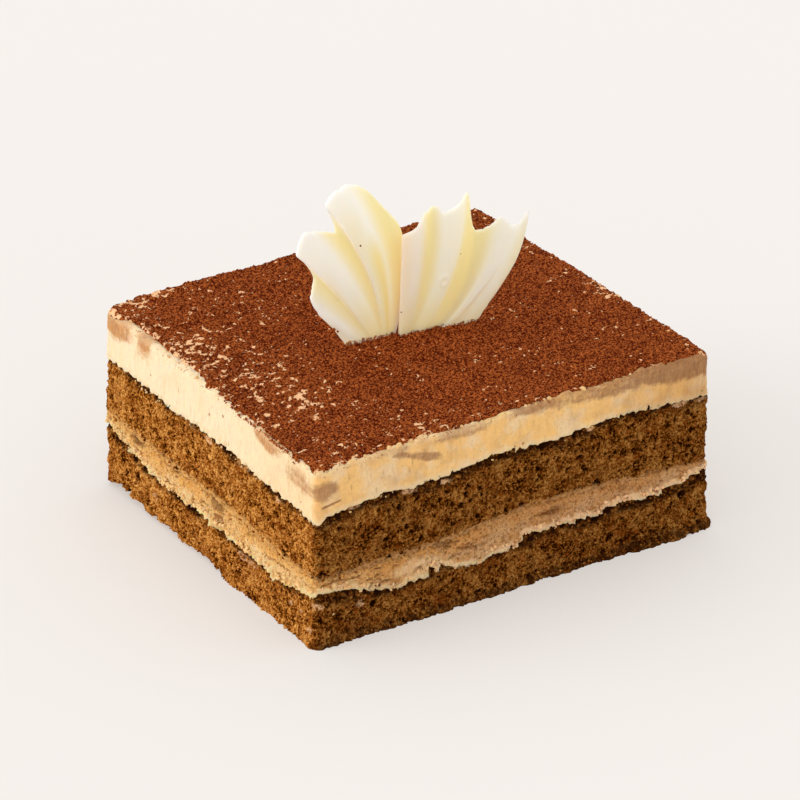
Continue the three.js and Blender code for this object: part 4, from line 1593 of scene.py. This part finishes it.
def chocolate_finish(colours):
    """Satin white chocolate, yellower in its creases, with cocoa clinging to its foot and a few stray specks.

    A faint glow stands in for the light that a thin sheet lets through, and the yellow of its creases is
    painted light that passes through and bounces between the folds.
    """
    material, tree = new_material("white_chocolate")
    at = place(tree)
    # Painted light: the crease colour stands for light let through and thrown back in the folds.
    base = mix_colours(tree, kept_value(tree, "crease"), colours.chocolate, colours.chocolate_crease)
    grain = cloud(tree, at, 0.6, 3.0, 0.6)
    foot = rise(tree, kept_value(tree, "foot"), 0.3, 1.4, 0.27, -0.1)
    dust = rise(tree, calculate(tree, "ADD", grain, foot), 0.7, 0.76)
    base = mix_colours(tree, dust, base, powder(tree, colours, 0.1)["Colour"])
    gloss = rise(tree, cloud(tree, at, 3.0, 2.0), 0.3, 0.7, 0.35, 0.5)
    return finished(material, base, gloss, WAXY_GLOW, grain, (0.05, 0.1))


def floor_finish(colours):
    """Pale matte floor that glows a little, like a light table, so that shadows on it stay soft."""
    material, tree = new_material("pale_floor")
    grain = cloud(tree, place(tree), 40.0, 2.0)
    base = mix_colours(tree, times(tree, grain, 0.05), colours.floor, FLOOR_CLOUD)
    return finished(material, base, 0.9, {**MATTE, **FLOOR_GLOW})


# Stage


def set_floor(scene, finish):
    """A large flat floor at height 0, as a grid of a few quads."""
    line = np.linspace(-FLOOR_REACH, FLOOR_REACH, 5)
    x, y = np.meshgrid(line, line, indexing="ij")
    points = np.stack([x, y, 0 * x], axis=-1).reshape(-1, 3)
    mesh = bpy.data.meshes.new("floor")
    mesh.from_pydata(points.tolist(), [], grid_quads(grid_numbers(*x.shape)).tolist())
    mesh.materials.append(finish)
    floor = bpy.data.objects.new("floor", mesh)
    scene.collection.objects.link(floor)


def set_light(scene, stage):
    """An even pale sky, and one wide soft light from the left."""
    world = bpy.data.worlds.new("even_sky")
    world.use_nodes = True
    background = world.node_tree.nodes["Background"]
    background.inputs["Color"].default_value = SKY_COLOUR
    background.inputs["Strength"].default_value = stage.sky
    scene.world = world
    lamp = bpy.data.lights.new("key", "SUN")
    lamp.angle = KEY_SPREAD
    lamp.energy = stage.key
    lamp.color = KEY_COLOUR
    key = bpy.data.objects.new("key", lamp)
    key.location = KEY_TOWARDS
    key.rotation_euler = key.location.to_track_quat("Z", "Y").to_euler()
    scene.collection.objects.link(key)


def set_camera(scene, stage):
    """The camera stands at the view's azimuth, elevation and distance from its target, and looks at it."""
    lens = bpy.data.cameras.new("view")
    lens.lens = stage.lens
    lens.clip_start = 0.01
    camera = bpy.data.objects.new("view", lens)
    azimuth = stage.view_azimuth
    elevation = stage.view_elevation
    level = math.cos(elevation)
    back = np.array([math.sin(azimuth) * level, -math.cos(azimuth) * level, math.sin(elevation)])
    camera.location = np.array(stage.view_target) + back * stage.view_distance
    camera.rotation_euler = (math.pi / 2 - elevation, 0, azimuth)
    scene.collection.objects.link(camera)
    scene.camera = camera
    scene.view_settings.view_transform = "Standard"


# Operators


def settings_of(context):
    """The block and the settings of the scene."""
    scene = context.scene
    return Block(scene.tiramisu_sizes), scene.tiramisu_sizes, scene.tiramisu_colours


class TIRAMISU_OT_sponges(bpy.types.Operator):
    """Make the two porous sponges"""

    bl_idname = "tiramisu.sponges"
    bl_label = "Sponges"

    def execute(self, context):
        block, sizes, colours = settings_of(context)
        finish = sponge_finish(colours)
        lower = ("lower_sponge", "sponge_base", "sponge")
        upper = ("upper_sponge", "sponge_middle", "sponge")
        sponge_layer(block, sizes, finish, lower, None, BASE_TOP, 1)
        sponge_layer(block, sizes, finish, upper, FILLING_TOP, MIDDLE_TOP, 5)
        return {"FINISHED"}


class TIRAMISU_OT_creams(bpy.types.Operator):
    """Make the top cream, the coffee filling and the lumps along its lip"""

    bl_idname = "tiramisu.creams"
    bl_label = "Creams"

    def execute(self, context):
        block, sizes, colours = settings_of(context)
        cream_layer(block, sizes, cream_finish(colours))
        filling_layer(block, filling_finish(colours))
        filling_bits(block, lip_finish(colours))
        return {"FINISHED"}


class TIRAMISU_OT_cocoa(bpy.types.Operator):
    """Make the cocoa skin"""

    bl_idname = "tiramisu.cocoa"
    bl_label = "Cocoa"

    def execute(self, context):
        block, sizes, colours = settings_of(context)
        cocoa_layer(block, sizes, cocoa_finish(colours))
        return {"FINISHED"}


class TIRAMISU_OT_fans(bpy.types.Operator):
    """Make the two ruffled white-chocolate fans"""

    bl_idname = "tiramisu.fans"
    bl_label = "Chocolate fans"

    def execute(self, context):
        block, _, colours = settings_of(context)
        finish = chocolate_finish(colours)
        for fan in FANS:
            fan_piece(block, fan, finish)
        return {"FINISHED"}


class TIRAMISU_OT_loose_bits(bpy.types.Operator):
    """Scatter crumbs, bits of cream and cocoa granules"""

    bl_idname = "tiramisu.loose_bits"
    bl_label = "Loose bits"

    def execute(self, context):
        block, _, colours = settings_of(context)
        sponge_crumbs(block, crumbs_finish(colours))
        cream_bits(block, bits_finish(colours))
        cocoa_granules(block, granule_finish(colours))
        return {"FINISHED"}


class TIRAMISU_OT_stage(bpy.types.Operator):
    """Set the floor, the light and the camera"""

    bl_idname = "tiramisu.stage"
    bl_label = "Stage"

    def execute(self, context):
        scene = context.scene
        stage = scene.tiramisu_stage
        set_floor(scene, floor_finish(scene.tiramisu_colours))
        set_light(scene, stage)
        set_camera(scene, stage)
        return {"FINISHED"}


class TIRAMISU_PT_panel(bpy.types.Panel):
    """Sidebar panel that lists the settings and the steps."""

    bl_idname = "TIRAMISU_PT_panel"
    bl_label = "Tiramisu slice"
    bl_space_type = "VIEW_3D"
    bl_region_type = "UI"
    bl_category = "Tiramisu"

    def draw(self, context):
        for name, _ in SETTINGS:
            group = getattr(context.scene, name)
            box = self.layout.box()
            for key in group.bl_rna.properties.keys():
                if key not in ("rna_type", "name"):
                    box.prop(group, key)
        for operator in OPERATORS:
            self.layout.operator(operator.bl_idname)


OPERATORS = (
    TIRAMISU_OT_sponges,
    TIRAMISU_OT_creams,
    TIRAMISU_OT_cocoa,
    TIRAMISU_OT_fans,
    TIRAMISU_OT_loose_bits,
    TIRAMISU_OT_stage,
)
SETTINGS = (
    ("tiramisu_sizes", TiramisuSizes),
    ("tiramisu_colours", TiramisuColours),
    ("tiramisu_stage", TiramisuStage),
)


def register():
    """Registers the settings, the operators and the panel."""
    for name, group in SETTINGS:
        bpy.utils.register_class(group)
        setattr(bpy.types.Scene, name, bpy.props.PointerProperty(type=group))
    for operator in OPERATORS:
        bpy.utils.register_class(operator)
    bpy.utils.register_class(TIRAMISU_PT_panel)


def unregister():
    """Takes back what register made."""
    bpy.utils.unregister_class(TIRAMISU_PT_panel)
    for operator in reversed(OPERATORS):
        bpy.utils.unregister_class(operator)
    for name, group in reversed(SETTINGS):
        delattr(bpy.types.Scene, name)
        bpy.utils.unregister_class(group)


def main():
    """Makes the slice and its stage."""
    register()
    bpy.ops.tiramisu.sponges()
    bpy.ops.tiramisu.creams()
    bpy.ops.tiramisu.cocoa()
    bpy.ops.tiramisu.fans()
    bpy.ops.tiramisu.loose_bits()
    bpy.ops.tiramisu.stage()


if __name__ == "__main__":
    main()
